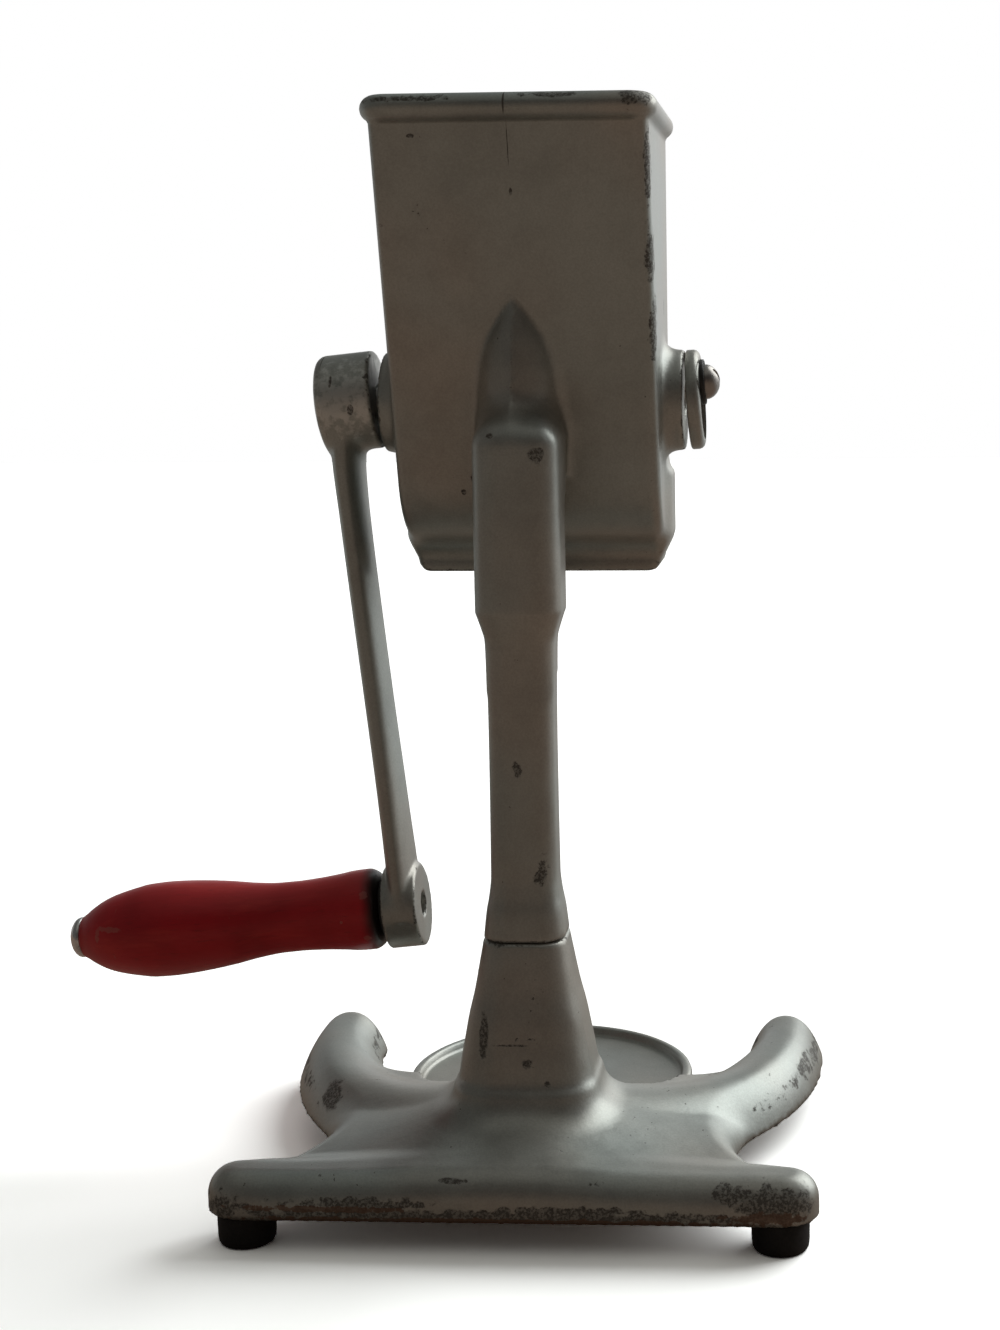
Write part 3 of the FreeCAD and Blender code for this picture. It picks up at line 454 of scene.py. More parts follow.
def body_field(x, y, z):
    """The body casting: hopper, chute mouth, rim, bosses, keel and post."""
    x, y, z = np.broadcast_arrays(x, y, z)
    side = np.abs(x) - HALF_WIDTH
    shell = round_max(side, y - FRONT_Y, 5.0)
    shell = round_max(chute_side(y, z, BEND_R), shell, 3.6)
    mouth = round_max(side, np.maximum(MOUTH_Y - y, y - FRONT_Y), 4.0)
    mouth = np.maximum(np.maximum(mouth, z - THROAT_Z), MOUTH_Z - z)
    outer = soft_min(shell, mouth, 8.0)
    bevel = ((np.abs(x) - 39.6) * 9.0 - (z - MOUTH_Z) * 6.0) / math.hypot(9.0, 6.0)
    outer = round_max(outer, bevel, 2.0)
    lip = round_max(side - 0.3, np.maximum(44.2 - y, y - FRONT_Y - 0.3), 4.5)
    lip = round_max(lip, bevel - 0.3, 2.0)
    lip = round_max(lip, np.abs(z - 202.5) - 1.5, 0.6)
    outer = soft_min(outer, lip, 1.5)
    outer = np.maximum(outer, z - 352.5)
    rim = rounded_box(x, y - 26.25, 42.3, 38.6, 5.5)
    bead = np.hypot(rim, (z - 351.4) * 1.03) - 4.3
    outer = soft_min(outer, bead, 0.5)
    axle = np.hypot(y - SHAFT_Y, z - SHAFT_Z)
    face = np.where(x < 0, -x - BOSS_LEFT, x - BOSS_RIGHT)
    outer = soft_min(outer, round_max(axle - 16.8, face, 1.0), 6.5)

    t = (back_wall(z) - y) / np.maximum(KEEL_DEPTH(z), 0.3)
    r = np.minimum(np.abs(x - KEEL_X) / np.maximum(KEEL_HALF(z), 0.4), 2.0)
    steep = KEEL_DEPTH(z) * (0.62 + 1.14 * r ** 2) / np.maximum(KEEL_HALF(z), 0.4)
    keel = (t - 1.0 + 0.62 * r + 0.38 * r ** 3) * KEEL_DEPTH(z) / np.hypot(1.0, steep)
    keel = np.maximum(np.maximum(keel, z - KEEL_TIP_Z - 0.3), 236.0 - z)
    keel = np.maximum(keel, y - back_wall(z) - 3.0)
    keel = np.maximum(keel, np.abs(x - KEEL_X) - KEEL_HALF(z) - 2.0)
    outer = soft_min(outer, keel, 1.0 + 1.6 * smooth_step(288.0, 262.0, z))

    half = POST_HALF(z)
    post = rounded_box(x, y, half, half, 0.62 * half) * 0.97
    post = round_max(post, z - 255.0, 9.0)
    web = np.maximum(np.abs(x) - 4.5, 182.0 + (y - 8.7) * 0.6 - z)
    web = np.maximum(np.maximum(web, y - 45.0), np.maximum(z - 240.0, -y))
    outer = soft_min(outer, web, 4.0)
    outer = soft_min(outer, post, 9.0)

    cavity_side = np.abs(x) - (HALF_WIDTH - WALL)
    cavity = round_max(cavity_side, y - FRONT_Y + WALL, 2.0)
    cavity = round_max(chute_side(y, z, BEND_R - WALL), cavity, 2.0)
    throat = np.maximum(MOUTH_Y + WALL - y, y - FRONT_Y + WALL)
    throat = np.maximum(throat, np.maximum(z - THROAT_Z, cavity_side))
    cavity = np.maximum(np.minimum(cavity, throat), bevel + WALL)
    body = round_max(outer, -cavity, 0.7)
    body = np.maximum(body, 5.55 - axle)
    return round_max(body, SEAM_Z + SEAM_GAP - z, 0.7)


# ---------------------------------------------------------------- crank casting

CRANK_LEAN = math.radians(6.0)
HUB_X = -62.9
CRANK_R = 175.5
GRIP_IN = -11.5
HUB_OUT, HUB_IN = -9.4, 10.1
ARM_Z = [-178, -160, -136, -100, -60, -40, -24, -14, -4]
ARM_MIDDLE = smooth_line(ARM_Z, [-3.4, -3.3, -3.3, -3.5, -3.6, -3.5, -3.2, -2.4, -1.6])
ARM_HALF_X = smooth_line(ARM_Z, [4.9, 4.6, 4.45, 4.45, 4.45, 4.45, 4.7, 5.2, 5.6])
ARM_HALF_Y = smooth_line(ARM_Z, [14.6, 13.4, 11.8, 10.6, 11.0, 11.8, 13.0, 13.8, 14.4])


def from_crank(x, y, z):
    """Crank's own place of a point: hub's centre at the origin, hub along x, no lean."""
    u, w = x - HUB_X, z - SHAFT_Z
    cos, sin = math.cos(CRANK_LEAN), math.sin(CRANK_LEAN)
    return u * cos + w * sin, y - SHAFT_Y, w * cos - u * sin


def to_crank(points):
    """Points in the crank's own place, put on the leaning crank."""
    x, y, z = np.asarray(points, float).T
    cos, sin = math.cos(CRANK_LEAN), math.sin(CRANK_LEAN)
    return np.stack([HUB_X + x * cos - z * sin, SHAFT_Y + y, SHAFT_Z + z * cos + x * sin], 1)


def crank_field(x, y, z):
    """The crank casting: hub, oval arm and lower boss."""
    x, y, z = np.broadcast_arrays(x, y, z)
    a, b, c = from_crank(x, y, z)
    hub = round_max(np.hypot(b, c) - 16.5, a - HUB_IN, 1.3)
    hub = round_max(hub, HUB_OUT - a, 3.5)
    half_a, half_b = ARM_HALF_X(c), ARM_HALF_Y(c)
    p, q = (a - ARM_MIDDLE(c)) / half_a, b / half_b
    reach = (np.abs(p) ** 2.2 + np.abs(q) ** 2.2 + 1e-9) ** (1 / 2.2)
    slope = np.hypot(p / half_a, q / half_b) / np.maximum(np.hypot(p, q), 1e-6)
    arm = (reach - 1.0) / np.maximum(slope, 1e-6) * 0.8
    arm = round_max(np.maximum(arm, -CRANK_R - 2.0 - c), c - 3.0, 8.0)
    boss = round_max(np.hypot(b, c + CRANK_R) - 14.2, np.abs(a + 3.75) - 6.25, 1.0)
    crank = soft_min(hub, arm, 3.5)
    crank = soft_min(crank, boss, 1.8)
    crank = round_max(crank, -a - 9.5 - 0.5 * smooth_step(-60.0, -120.0, c), 1.2)
    hole = np.maximum(np.hypot(b, c + CRANK_R) - 4.0, -0.4 - a)
    crank = round_max(crank, -hole, 0.3)
    return np.maximum(crank, 5.5 - np.hypot(y - SHAFT_Y, z - SHAFT_Z))


# ---------------------------------------------------------------- shader groups and materials

class Nodes:
    """Short calls for building a node tree."""

    def __init__(self, tree):
        self.tree = tree

    def add(self, kind, inputs=None, **settings):
        node = self.tree.nodes.new(kind)
        for key, value in settings.items():
            setattr(node, key, value)
        for key, value in (inputs or {}).items():
            socket = node.inputs[key]
            if isinstance(value, bpy.types.NodeSocket):
                self.tree.links.new(value, socket)
            else:
                socket.default_value = value
        return node

    def link(self, source, target):
        self.tree.links.new(source, target)

    def math(self, operation, a, b, clamp=False):
        node = self.add("ShaderNodeMath", {0: a, 1: b}, operation=operation, use_clamp=clamp)
        return node.outputs[0]

    def plus(self, a, b):
        return self.math("ADD", a, b)

    def minus(self, a, b):
        return self.math("SUBTRACT", a, b)

    def times(self, a, b, clamp=False):
        return self.math("MULTIPLY", a, b, clamp)

    def larger(self, a, b):
        return self.math("MAXIMUM", a, b)

    def vector(self, operation, a, b=(0.0, 0.0, 0.0), out=0):
        node = self.add("ShaderNodeVectorMath", {0: a, 1: b}, operation=operation)
        return node.outputs[out]

    def noise(self, vector, scale, detail=3.0, roughness=0.55):
        node = self.add("ShaderNodeTexNoise", {"Vector": vector, "Scale": scale, "Detail": detail,
                                               "Roughness": roughness})
        return node.outputs["Fac"]

    def parts(self, vector):
        return self.add("ShaderNodeSeparateXYZ", {"Vector": vector}).outputs

    def coordinates(self, kind):
        return self.add("ShaderNodeTexCoord").outputs[kind]

    def span(self, value, low, high, to_low=0.0, to_high=1.0):
        node = self.add("ShaderNodeMapRange", {"Value": value, "From Min": low, "From Max": high,
                                               "To Min": to_low, "To Max": to_high},
                        interpolation_type="SMOOTHSTEP")
        return node.outputs["Result"]

    def mix(self, share, a, b):
        node = self.add("ShaderNodeMix", {"Factor": share, "A": a, "B": b}, data_type="RGBA")
        return node.outputs["Result"]


def new_group(name, inputs, outputs):
    """Empty shader node group with named sockets, its given values and its results."""
    tree = bpy.data.node_groups.new(name, "ShaderNodeTree")
    for direction, sockets in (("INPUT", inputs), ("OUTPUT", outputs)):
        for socket_name, kind, default in sockets:
            socket = tree.interface.new_socket(socket_name, in_out=direction, socket_type=kind)
            if default is not None:
                socket.default_value = default
    nodes = Nodes(tree)
    return tree, nodes, nodes.add("NodeGroupInput").outputs, nodes.add("NodeGroupOutput").inputs


FLOAT, VECTOR, COLOUR = "NodeSocketFloat", "NodeSocketVector", "NodeSocketColor"


def build_wear_spot():
    """Ragged patch round a centre: 1 inside its reach, 0 outside, broken up by noise."""
    tree, n, given, result = new_group(
        "wear_spot",
        [("Place", VECTOR, None), ("Centre", VECTOR, None), ("Reach", VECTOR, None),
         ("Ragged", FLOAT, 0.6), ("Grain", FLOAT, 300.0)],
        [("Mask", FLOAT, None)])
    place = given["Place"]
    offset = n.vector("SUBTRACT", place, given["Centre"])
    distance = n.vector("LENGTH", n.vector("DIVIDE", offset, given["Reach"]), out=1)
    grain = n.noise(place, given["Grain"], 4.0, 0.65)
    grain = n.times(n.minus(grain, 0.5), given["Ragged"])
    n.link(n.span(n.plus(distance, n.times(grain, 5.0)), 1.05, 0.75), result["Mask"])
    return tree


def build_cast_skin():
    """Paint on sand-cast metal: slow tone changes, fine grain, pits and small dark flecks."""
    tree, n, given, result = new_group(
        "cast_skin",
        [("Place", VECTOR, None), ("Flecks", FLOAT, 0.5), ("Edge", FLOAT, 0.0)],
        [("Tone", FLOAT, None), ("Warmth", FLOAT, None), ("Fleck", FLOAT, None),
         ("Height", FLOAT, None), ("Grain", FLOAT, None), ("Rub", FLOAT, None)])
    place = given["Place"]
    slow = n.noise(place, 26.0, 3.0, 0.5)
    middle = n.noise(place, 120.0, 4.0, 0.6)
    grain = n.noise(place, 1500.0, 2.0, 0.6)
    n.link(n.plus(n.times(slow, 0.6), n.times(middle, 0.4)), result["Tone"])
    n.link(n.noise(n.vector("ADD", place, (0.3, 0.1, 0.7)), 14.0, 2.0, 0.5), result["Warmth"])
    clusters = n.noise(n.vector("ADD", place, (0.5, 0.2, 0.1)), 60.0, 2.0, 0.5)
    small = n.noise(place, 420.0, 3.0, 0.7)
    limit = n.minus(0.80, n.times(given["Flecks"], 0.12))
    limit = n.minus(limit, n.times(n.minus(clusters, 0.5), 0.35))
    fleck = n.times(n.minus(small, limit), 22.0, clamp=True)
    n.link(fleck, result["Fleck"])
    rub = n.plus(n.times(given["Edge"], 0.5),
                 n.times(n.minus(n.noise(place, 330.0, 5.0, 0.7), 0.5), 2.4))
    n.link(n.span(rub, 0.5, 0.78), result["Rub"])
    bumps = n.plus(n.times(middle, 0.5), n.times(grain, 0.07))
    bumps = n.plus(bumps, n.times(n.noise(place, 520.0, 3.0, 0.6), 0.16))
    n.link(n.minus(bumps, n.times(fleck, 0.25)), result["Height"])
    n.link(grain, result["Grain"])
    return tree


wear_spot = build_wear_spot()
cast_skin = build_cast_skin()


def new_material(name):
    """Material with its Principled shader and Object coordinates."""
    material = bpy.data.materials.new(name)
    material.use_nodes = True
    tree = material.node_tree
    shader = tree.nodes["Principled BSDF"]
    n = Nodes(tree)
    return material, n, shader, n.coordinates("Object")


def add_relief(n, shader, height, strength, distance):
    """Fine relief of a material, in its normals."""
    bump = n.add("ShaderNodeBump", {"Strength": strength, "Distance": distance, "Height": height})
    n.link(bump.outputs["Normal"], shader.inputs["Normal"])


def spot_mask(n, place, spots):
    """Strongest of several ragged patches. A spot is (centre mm, reach mm, ragged)."""
    mask = None
    for centre, reach, ragged in spots:
        one = n.add("ShaderNodeGroup", {
            "Place": place, "Centre": tuple(placed(centre)), "Ragged": ragged,
            "Reach": tuple(MM * r for r in reach)}, node_tree=wear_spot).outputs["Mask"]
        mask = one if mask is None else n.larger(mask, one)
    return mask


PALE_PAINT, WARM_PAINT = (0.36, 0.385, 0.365, 1.0), (0.385, 0.37, 0.335, 1.0)
# The first colour here is painted light: the pale grey that lighter patches, such as the crank
# hub's, are painted towards.
PAINTED_LIGHT_GREY, RUST = (0.66, 0.67, 0.64, 1.0), (0.135, 0.070, 0.038, 1.0)
# Painted shade: the dark colour that the coves and creases of the castings are painted towards.
COVE_SHADE = (0.10, 0.095, 0.08, 1.0)
DARK_DIRT, LIGHT_DIRT = (0.022, 0.020, 0.016, 1.0), (0.075, 0.066, 0.052, 1.0)


def casting_material(name, spots, flecks, rusty=(), seams=(), painted_light_spots=()):
    """Silver-grey paint over cast aluminium, with its dirt, flecks and worn places, painted shade
    in its coves, and lighter patches of painted light where given.
    """
    material, n, shader, place = new_material(name)
    edge = n.add("ShaderNodeAttribute", attribute_name="edge", attribute_type="GEOMETRY")
    edge = edge.outputs["Fac"]
    skin = n.add("ShaderNodeGroup", {"Place": place, "Flecks": flecks, "Edge": edge},
                 node_tree=cast_skin).outputs
    paint = n.mix(n.span(skin["Warmth"], 0.35, 0.65), PALE_PAINT, WARM_PAINT)
    shade = n.span(skin["Tone"], 0.3, 0.7, 0.86, 1.1)
    shade = n.times(shade, n.span(skin["Grain"], 0.3, 0.7, 0.93, 1.07))
    paint = n.add("ShaderNodeVectorMath", {0: paint, "Scale": shade}, operation="SCALE").outputs[0]
    # Painted light: patches of paint turned pale grey so that they read lighter.
    if painted_light_spots:
        paint = n.mix(n.times(spot_mask(n, place, painted_light_spots), 0.8), paint, PAINTED_LIGHT_GREY)
    # Painted shade: paint darkened in coves, where the edge measure is negative.
    cove = n.span(edge, -0.25, -0.9)
    paint = n.mix(n.times(cove, 0.35), paint, COVE_SHADE)
    dark = n.times(skin["Fleck"], 0.85)
    dark = n.larger(dark, n.times(skin["Rub"], 0.8))
    if spots:
        crumbs = n.span(n.noise(place, 1100.0, 4.0, 0.7), 0.4, 0.56, 0.3, 0.88)
        dark = n.larger(dark, n.times(spot_mask(n, place, spots), crumbs))
    for centre, reach in seams:
        line = spot_mask(n, place, [(centre, reach, 0.12)])
        dark = n.larger(dark, n.times(line, 0.85))
    dirt = n.mix(n.noise(place, 300.0, 3.0), DARK_DIRT, LIGHT_DIRT)
    paint = n.mix(dark, paint, dirt)
    if rusty:
        rust = n.times(spot_mask(n, place, rusty), 0.75)
        paint = n.mix(rust, paint, RUST)
    n.link(paint, shader.inputs["Base Color"])
    rough = n.span(skin["Tone"], 0.3, 0.7, 0.36, 0.46)
    n.link(n.plus(rough, n.times(dark, 0.25)), shader.inputs["Roughness"])
    n.link(n.times(n.minus(1.0, dark), 0.7), shader.inputs["Metallic"])
    height = n.minus(skin["Height"], n.times(dark, 0.2))
    add_relief(n, shader, height, 0.35, 0.0007)
    return material


def metal_material(name, colour, roughness, dirt=0.3, scratch=0.5, scale=(1.0, 1.0, 1.0)):
    """Bare metal with fine turning marks, smudges and dull places."""
    material, n, shader, place = new_material(name)
    stretched = n.vector("MULTIPLY", place, scale)
    marks = n.noise(stretched, 900.0, 4.0, 0.6)
    smudge = n.noise(place, 90.0, 4.0, 0.6)
    dull = tuple(0.45 * c for c in colour[:3]) + (1.0,)
    tint = n.mix(n.times(n.span(smudge, 0.45, 0.75), dirt), colour, dull)
    n.link(tint, shader.inputs["Base Color"])
    rough = n.plus(roughness, n.times(n.span(smudge, 0.4, 0.8), 0.22))
    n.link(n.plus(rough, n.times(marks, 0.08)), shader.inputs["Roughness"])
    shader.inputs["Metallic"].default_value = 1.0
    add_relief(n, shader, marks, 0.25 * scratch, 0.0003)
    return material


def dull_material(name, colour, roughness, grain=800.0, bump_strength=0.3):
    """Rubber, fibre or blackened steel: dark, with dust and a fine grain."""
    material, n, shader, place = new_material(name)
    dust = n.noise(place, 140.0, 4.0, 0.6)
    fine = n.noise(place, grain, 3.0, 0.6)
    light = tuple(min(1.0, 2.4 * c + 0.012) for c in colour[:3]) + (1.0,)
    n.link(n.mix(n.span(dust, 0.42, 0.8, 0.0, 0.6), colour, light), shader.inputs["Base Color"])
    n.link(n.plus(roughness, n.times(n.minus(fine, 0.5), 0.2)),
           shader.inputs["Roughness"])
    add_relief(n, shader, fine, bump_strength, 0.0004)
    return material


def lacquer_material(name):
    """Red lacquer on turned wood: grain along the grip, scratches, painted shade at the inner end
    and painted light along its top.
    """
    material, n, shader, place = new_material(name)
    start = tuple(placed(to_crank([(GRIP_IN, 0.0, -CRANK_R)])[0]))
    turn = n.add("ShaderNodeMapping", {"Vector": n.vector("SUBTRACT", place, start),
                                       "Rotation": (0.0, -CRANK_LEAN, 0.0)}, vector_type="TEXTURE")
    along = n.parts(turn.outputs[0])["X"]
    fibre = n.noise(n.vector("MULTIPLY", turn.outputs[0], (0.10, 1.0, 1.0)), 900.0, 5.0, 0.65)
    streak = n.noise(n.vector("MULTIPLY", turn.outputs[0], (0.16, 1.0, 1.0)), 190.0, 4.0, 0.6)
    cloud = n.noise(place, 45.0, 3.0, 0.55)
    red = n.mix(n.span(cloud, 0.3, 0.7), (0.52, 0.010, 0.018, 1.0), (0.40, 0.006, 0.012, 1.0))
    red = n.mix(n.span(streak, 0.5, 0.75, 0.0, 0.5), red, (0.62, 0.035, 0.030, 1.0))
    red = n.mix(n.span(fibre, 0.55, 0.75, 0.0, 0.45), red, (0.20, 0.006, 0.008, 1.0))
    # Painted light: the upper side of the grip is painted a lighter, more orange red, as if lit
    # from above.
    height_for_top_light = n.parts(place)["Z"]
    top = float(placed((0, 0, 88.0))[2])
    red = n.mix(n.span(height_for_top_light, top - 0.006, top + 0.010, 0.0, 0.45), red, (0.60, 0.030, 0.025, 1.0))
    # Painted shade: the inner end of the grip, next to the crank, is painted near black.
    inner_end_shade = n.plus(along, n.times(n.minus(cloud, 0.5), 0.004))
    red = n.mix(n.span(inner_end_shade, -0.0065, -0.001), red, (0.012, 0.006, 0.006, 1.0))
    scratch = spot_mask(n, place, [
        ((-150.2, 26.0, 78.5), (6.0, 5.0, 1.1), 0.45),
        ((-154.0, 26.0, 76.5), (1.2, 5.0, 3.0), 0.4),
        ((-68.0, 27.0, 81.7), (0.6, 3.0, 0.6), 0.1),
        ((-59.5, 29.0, 76.0), (1.6, 4.0, 1.2), 0.5),
        ((-60.5, 27.0, 91.0), (1.6, 5.0, 1.4), 0.5)])
    fine = n.noise(n.vector("MULTIPLY", turn.outputs[0], (1.0, 0.25, 0.25)), 1300.0, 2.0, 0.5)
    scratch = n.larger(n.times(scratch, 0.4), n.times(n.span(fine, 0.72, 0.8), 0.25))
    red = n.mix(scratch, red, (0.42, 0.16, 0.13, 1.0))
    n.link(red, shader.inputs["Base Color"])
    n.link(n.span(cloud, 0.3, 0.7, 0.36, 0.48), shader.inputs["Roughness"])
    shader.inputs["Specular IOR Level"].default_value = 0.35
    shader.inputs["Coat Weight"].default_value = 0.1
    shader.inputs["Coat Roughness"].default_value = 0.28
    add_relief(n, shader, n.plus(n.times(fibre, 0.5), streak), 0.22, 0.0005)
    return material


base_spots = [
    ((0.0, -53.0, 12.6), (97.0, 6.0, 2.3), 0.55),
    ((-45.0, -53.0, 16.4), (22.0, 5.0, 1.9), 0.62),
    ((20.0, -53.0, 14.6), (26.0, 5.0, 1.6), 0.62),
    ((81.4, -51.0, 17.0), (13.0, 8.0, 5.5), 0.5),
    ((68.4, -51.0, 19.8), (6.0, 5.0, 3.2), 0.45),
    ((-88.0, -50.0, 14.0), (8.0, 8.0, 4.2), 0.5),
    ((-17.3, -50.0, 22.9), (4.5, 3.0, 0.8), 0.5),
    ((25.0, -46.0, 22.4), (9.0, 4.0, 1.2), 0.65),
    ((-12.0, -18.0, 57.0), (1.5, 6.0, 8.5), 0.35),
    ((2.1, -23.0, 49.7), (1.7, 4.0, 1.7), 0.5),
    ((8.7, -25.0, 43.0), (1.2, 5.0, 1.2), 0.5),
    ((-2.7, -21.0, 55.0), (6.5, 3.0, 0.5), 0.35),
    # Darker patch on the left leg's outer side.
    ((-72.5, 24.0, 21.5), (5.5, 9.0, 5.0), 0.25),
    ((88.0, 66.0, 20.0), (5.0, 12.0, 1.6), 0.62),
]
base_rust = [
    ((0.0, -53.0, 11.2), (94.0, 4.0, 1.0), 0.6),
    ((80.0, -53.0, 13.2), (12.0, 5.0, 2.0), 0.6),
    ((-55.0, -53.0, 14.5), (26.0, 4.0, 1.0), 0.65),
]
body_spots = [
    ((41.0, -16.0, 353.4), (6.0, 8.0, 2.4), 0.5),
    ((14.0, -16.0, 354.4), (9.0, 6.0, 0.9), 0.62),
    ((-30.0, -16.0, 353.6), (13.0, 6.0, 1.0), 0.66),
    ((43.3, -9.0, 331.0), (1.2, 9.0, 14.0), 0.5),
    ((43.0, 2.0, 306.0), (1.6, 7.0, 9.0), 0.5),
    ((43.2, 9.0, 284.0), (1.3, 6.0, 11.0), 0.5),
    ((0.1, -6.0, 325.9), (0.6, 3.0, 1.5), 0.3),
    ((-30.3, -11.0, 342.8), (1.5, 3.0, 0.7), 0.4),
    ((7.6, -14.0, 244.0), (3.0, 3.0, 2.6), 0.5),
    ((-7.0, -12.0, 249.6), (1.4, 3.0, 1.0), 0.35),
    ((-17.9, 18.0, 234.6), (0.8, 4.0, 1.5), 0.4),
    ((-21.3, 20.0, 229.6), (0.9, 4.0, 1.0), 0.4),
    ((6.5, -10.0, 109.5), (2.6, 3.0, 4.2), 0.62),
    ((-0.7, -10.0, 143.0), (1.5, 3.0, 3.0), 0.6),
    ((44.3, 45.0, 290.0), (0.8, 0.7, 4.2), 0.3),
]
body_seams = [((-0.2, -16.0, 352.5), (0.35, 8.0, 4.6)), ((0.0, -12.0, 338.0), (0.18, 5.0, 9.0))]
crank_seams = [(to_crank([(-6.2, 14.0, c)])[0], (0.3, 30.0, 4.4))
               for c in (14.0, 6.0, -2.0, -10.0, -18.0)]
# Painted light: the crank hub's paint is turned pale so that the hub reads lighter.
crank_painted_light = [(to_crank([(2.0, 14.0, 1.0)])[0], (30.0, 40.0, 15.0), 0.25)]
crank_spots = [
    ((-59.3, 24.0, 257.0), (1.2, 4.0, 2.4), 0.4),
    ((-66.2, 26.0, 266.5), (0.6, 5.0, 2.0), 0.35),
]

painted_base = casting_material("painted_base_casting", base_spots, 0.75, base_rust)
painted_body = casting_material("painted_body_casting", body_spots, 0.45, seams=body_seams)
painted_crank = casting_material("painted_crank_casting", crank_spots, 0.35,
                                 seams=crank_seams, painted_light_spots=crank_painted_light)
painted_cap = casting_material("painted_cap", [], 0.3)
rotor_iron = metal_material("dulled_rotor_casting", (0.30, 0.30, 0.31, 1.0), 0.42, 0.6)
plain_steel = metal_material("plain_steel", (0.52, 0.51, 0.50, 1.0), 0.30, 0.35,
                             scale=(0.1, 1.0, 1.0))
bright_plating = metal_material("bright_plating", (0.72, 0.71, 0.70, 1.0), 0.10, 0.4, 0.2)
screw_steel = metal_material("worn_screw_steel", (0.36, 0.34, 0.32, 1.0), 0.28, 0.5)
black_steel = dull_material("blackened_steel", (0.012, 0.012, 0.012, 1.0), 0.45)
# Black fibre of the washers. Its black is also painted shade for the gaps they sit in, between the
# crank hub and the boss and at the grip's inner end.
black_fibre = dull_material("fibre_washers_and_gap_shade", (0.012, 0.012, 0.011, 1.0), 0.7)
foot_rubber = dull_material("foot_rubber", (0.004, 0.004, 0.0045, 1.0), 0.75, 600.0, 0.25)
red_lacquer = lacquer_material("red_lacquer_wood")


# ---------------------------------------------------------------- pieces

def casting_piece(name, field, low, high, voxel, body, material, extra=()):
    """A casting from its field, with its edge measure kept for the paint's wear and for the painted
    shade in its coves.
    """
    points, faces = level_surface(field, low, high, voxel)
    edge = edge_measure(field, points)
    if extra:
        count = len(points)
        points, faces = joined([(points, faces)] + [(p, outward(p, f)) for p, f in extra])
        edge = np.concatenate([edge, np.zeros(len(points) - count)])
    piece = make_piece(name, points, faces, body, "silver_casting", material)
    attribute = piece.data.attributes.new("edge", "FLOAT", "POINT")
    attribute.data.foreach_set("value", edge.astype(np.float32)[:len(piece.data.vertices)])
    return piece


base_piece = casting_piece("base_skin", base_field, (-98, -56, 8), (98, 112, 89), 1.15,
                           "stand", painted_base, [plate_rim()])
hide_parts("base_casting")
body_piece = casting_piece("body_skin", body_field, (-54, -20, 84), (55, 71, 359), 1.15,
                           "stand", painted_body)
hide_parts("body_casting")
crank_piece = casting_piece("crank_skin", crank_field, (-77, 21, 66), (-38, 59, 279), 0.85,
                            "crank", painted_crank)
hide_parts("crank_arm")

GRIP_LENGTH = 106.6
GRIP_END = GRIP_IN - GRIP_LENGTH
GRIP_BORE_R = 4.1
GRIP_RADIUS = smooth_line(
    [0.0, 1.0, 4.0, 8.6, 14, 22, 30, 36, 44, 53.6,
     62.6, 70, 75.8, 82, 86.6, 94, 98.2, 102.5, 105.4, 106.6],
    [10.6, 12.7, 13.95, 13.85, 13.2, 12.45, 12.1, 12.15, 12.9, 14.45,
     15.55, 16.15, 16.35, 16.15, 15.4, 13.7, 12.2, 9.9, 7.9, 7.2])


def grip_profile():
    """Turned outline of the grip, closed along its bore: (distance along, radius)."""
    along = np.concatenate([np.linspace(0, 5, 12), np.linspace(6, 98, 70),
                            np.linspace(99, GRIP_LENGTH, 16)])
    outer = np.stack([GRIP_IN - along, GRIP_RADIUS(along)], 1)
    bore = np.array([[GRIP_END, GRIP_BORE_R], [GRIP_IN, GRIP_BORE_R]])
    return np.concatenate([outer, bore, outer[:1]])


def on_crank(profile, around):
    """Surface turned about the crank's own x axis at the handle, put on the leaning crank."""
    points, faces = turned(profile, (0.0, 0.0, -CRANK_R), (1.0, 0.0, 0.0), around)
    return seamed(to_crank(points), faces)


def dome_profile(radius, height, rise, foot):
    """Half outline of a domed head: seat, short straight side, then a round top."""
    t = np.linspace(0.0, np.pi / 2.0, 14)
    top = np.stack([foot + rise + (height - rise) * np.sin(t), radius * np.cos(t)], 1)
    return np.concatenate([[[foot, 0.0], [foot, radius * 0.96], [foot + 0.25, radius]], top])


make_piece("grip_skin", *on_crank(grip_profile(), 128), "grip", "red_wood", red_lacquer,
           ["handle_grip"])
BOLT_HEAD = dome_profile(7.0, 4.6, 0.9, 0.3) * (-1, 1) + (GRIP_END, 0.0)
BOLT_SHANK = np.array([[0.5, 0.0], [0.5, 3.6], [0.1, 4.0], [GRIP_END - 0.3, 4.0],
                       [GRIP_END - 0.3, 0.0]])
make_piece("handle_bolt_skin", *joined([on_crank(BOLT_HEAD, 64), on_crank(BOLT_SHANK, 48)]),
           "crank", "bright_chrome", bright_plating, ["handle_bolt"])

CAP_TILT = math.radians(3.2)
CAP_R = 16.7
CAP_FACE = BOSS_RIGHT + 0.3 + CAP_R * math.sin(CAP_TILT)
SCREW = (0.0, -math.sqrt(9.0 ** 2 - 5.8 ** 2), 5.8)


def on_cap(points):
    """Points in the cap's own place, put on the boss with the cap's lean."""
    x, y, z = np.asarray(points, float).T
    cos, sin = math.cos(CAP_TILT), math.sin(CAP_TILT)
    return np.stack([CAP_FACE + x * cos - z * sin, SHAFT_Y + y, SHAFT_Z + z * cos + x * sin], 1)


def cap_turned(profile, centre, around):
    """Surface turned about an axis square to the cap."""
    points, faces = turned(profile, centre, (1.0, 0.0, 0.0), around)
    return seamed(on_cap(points), faces)


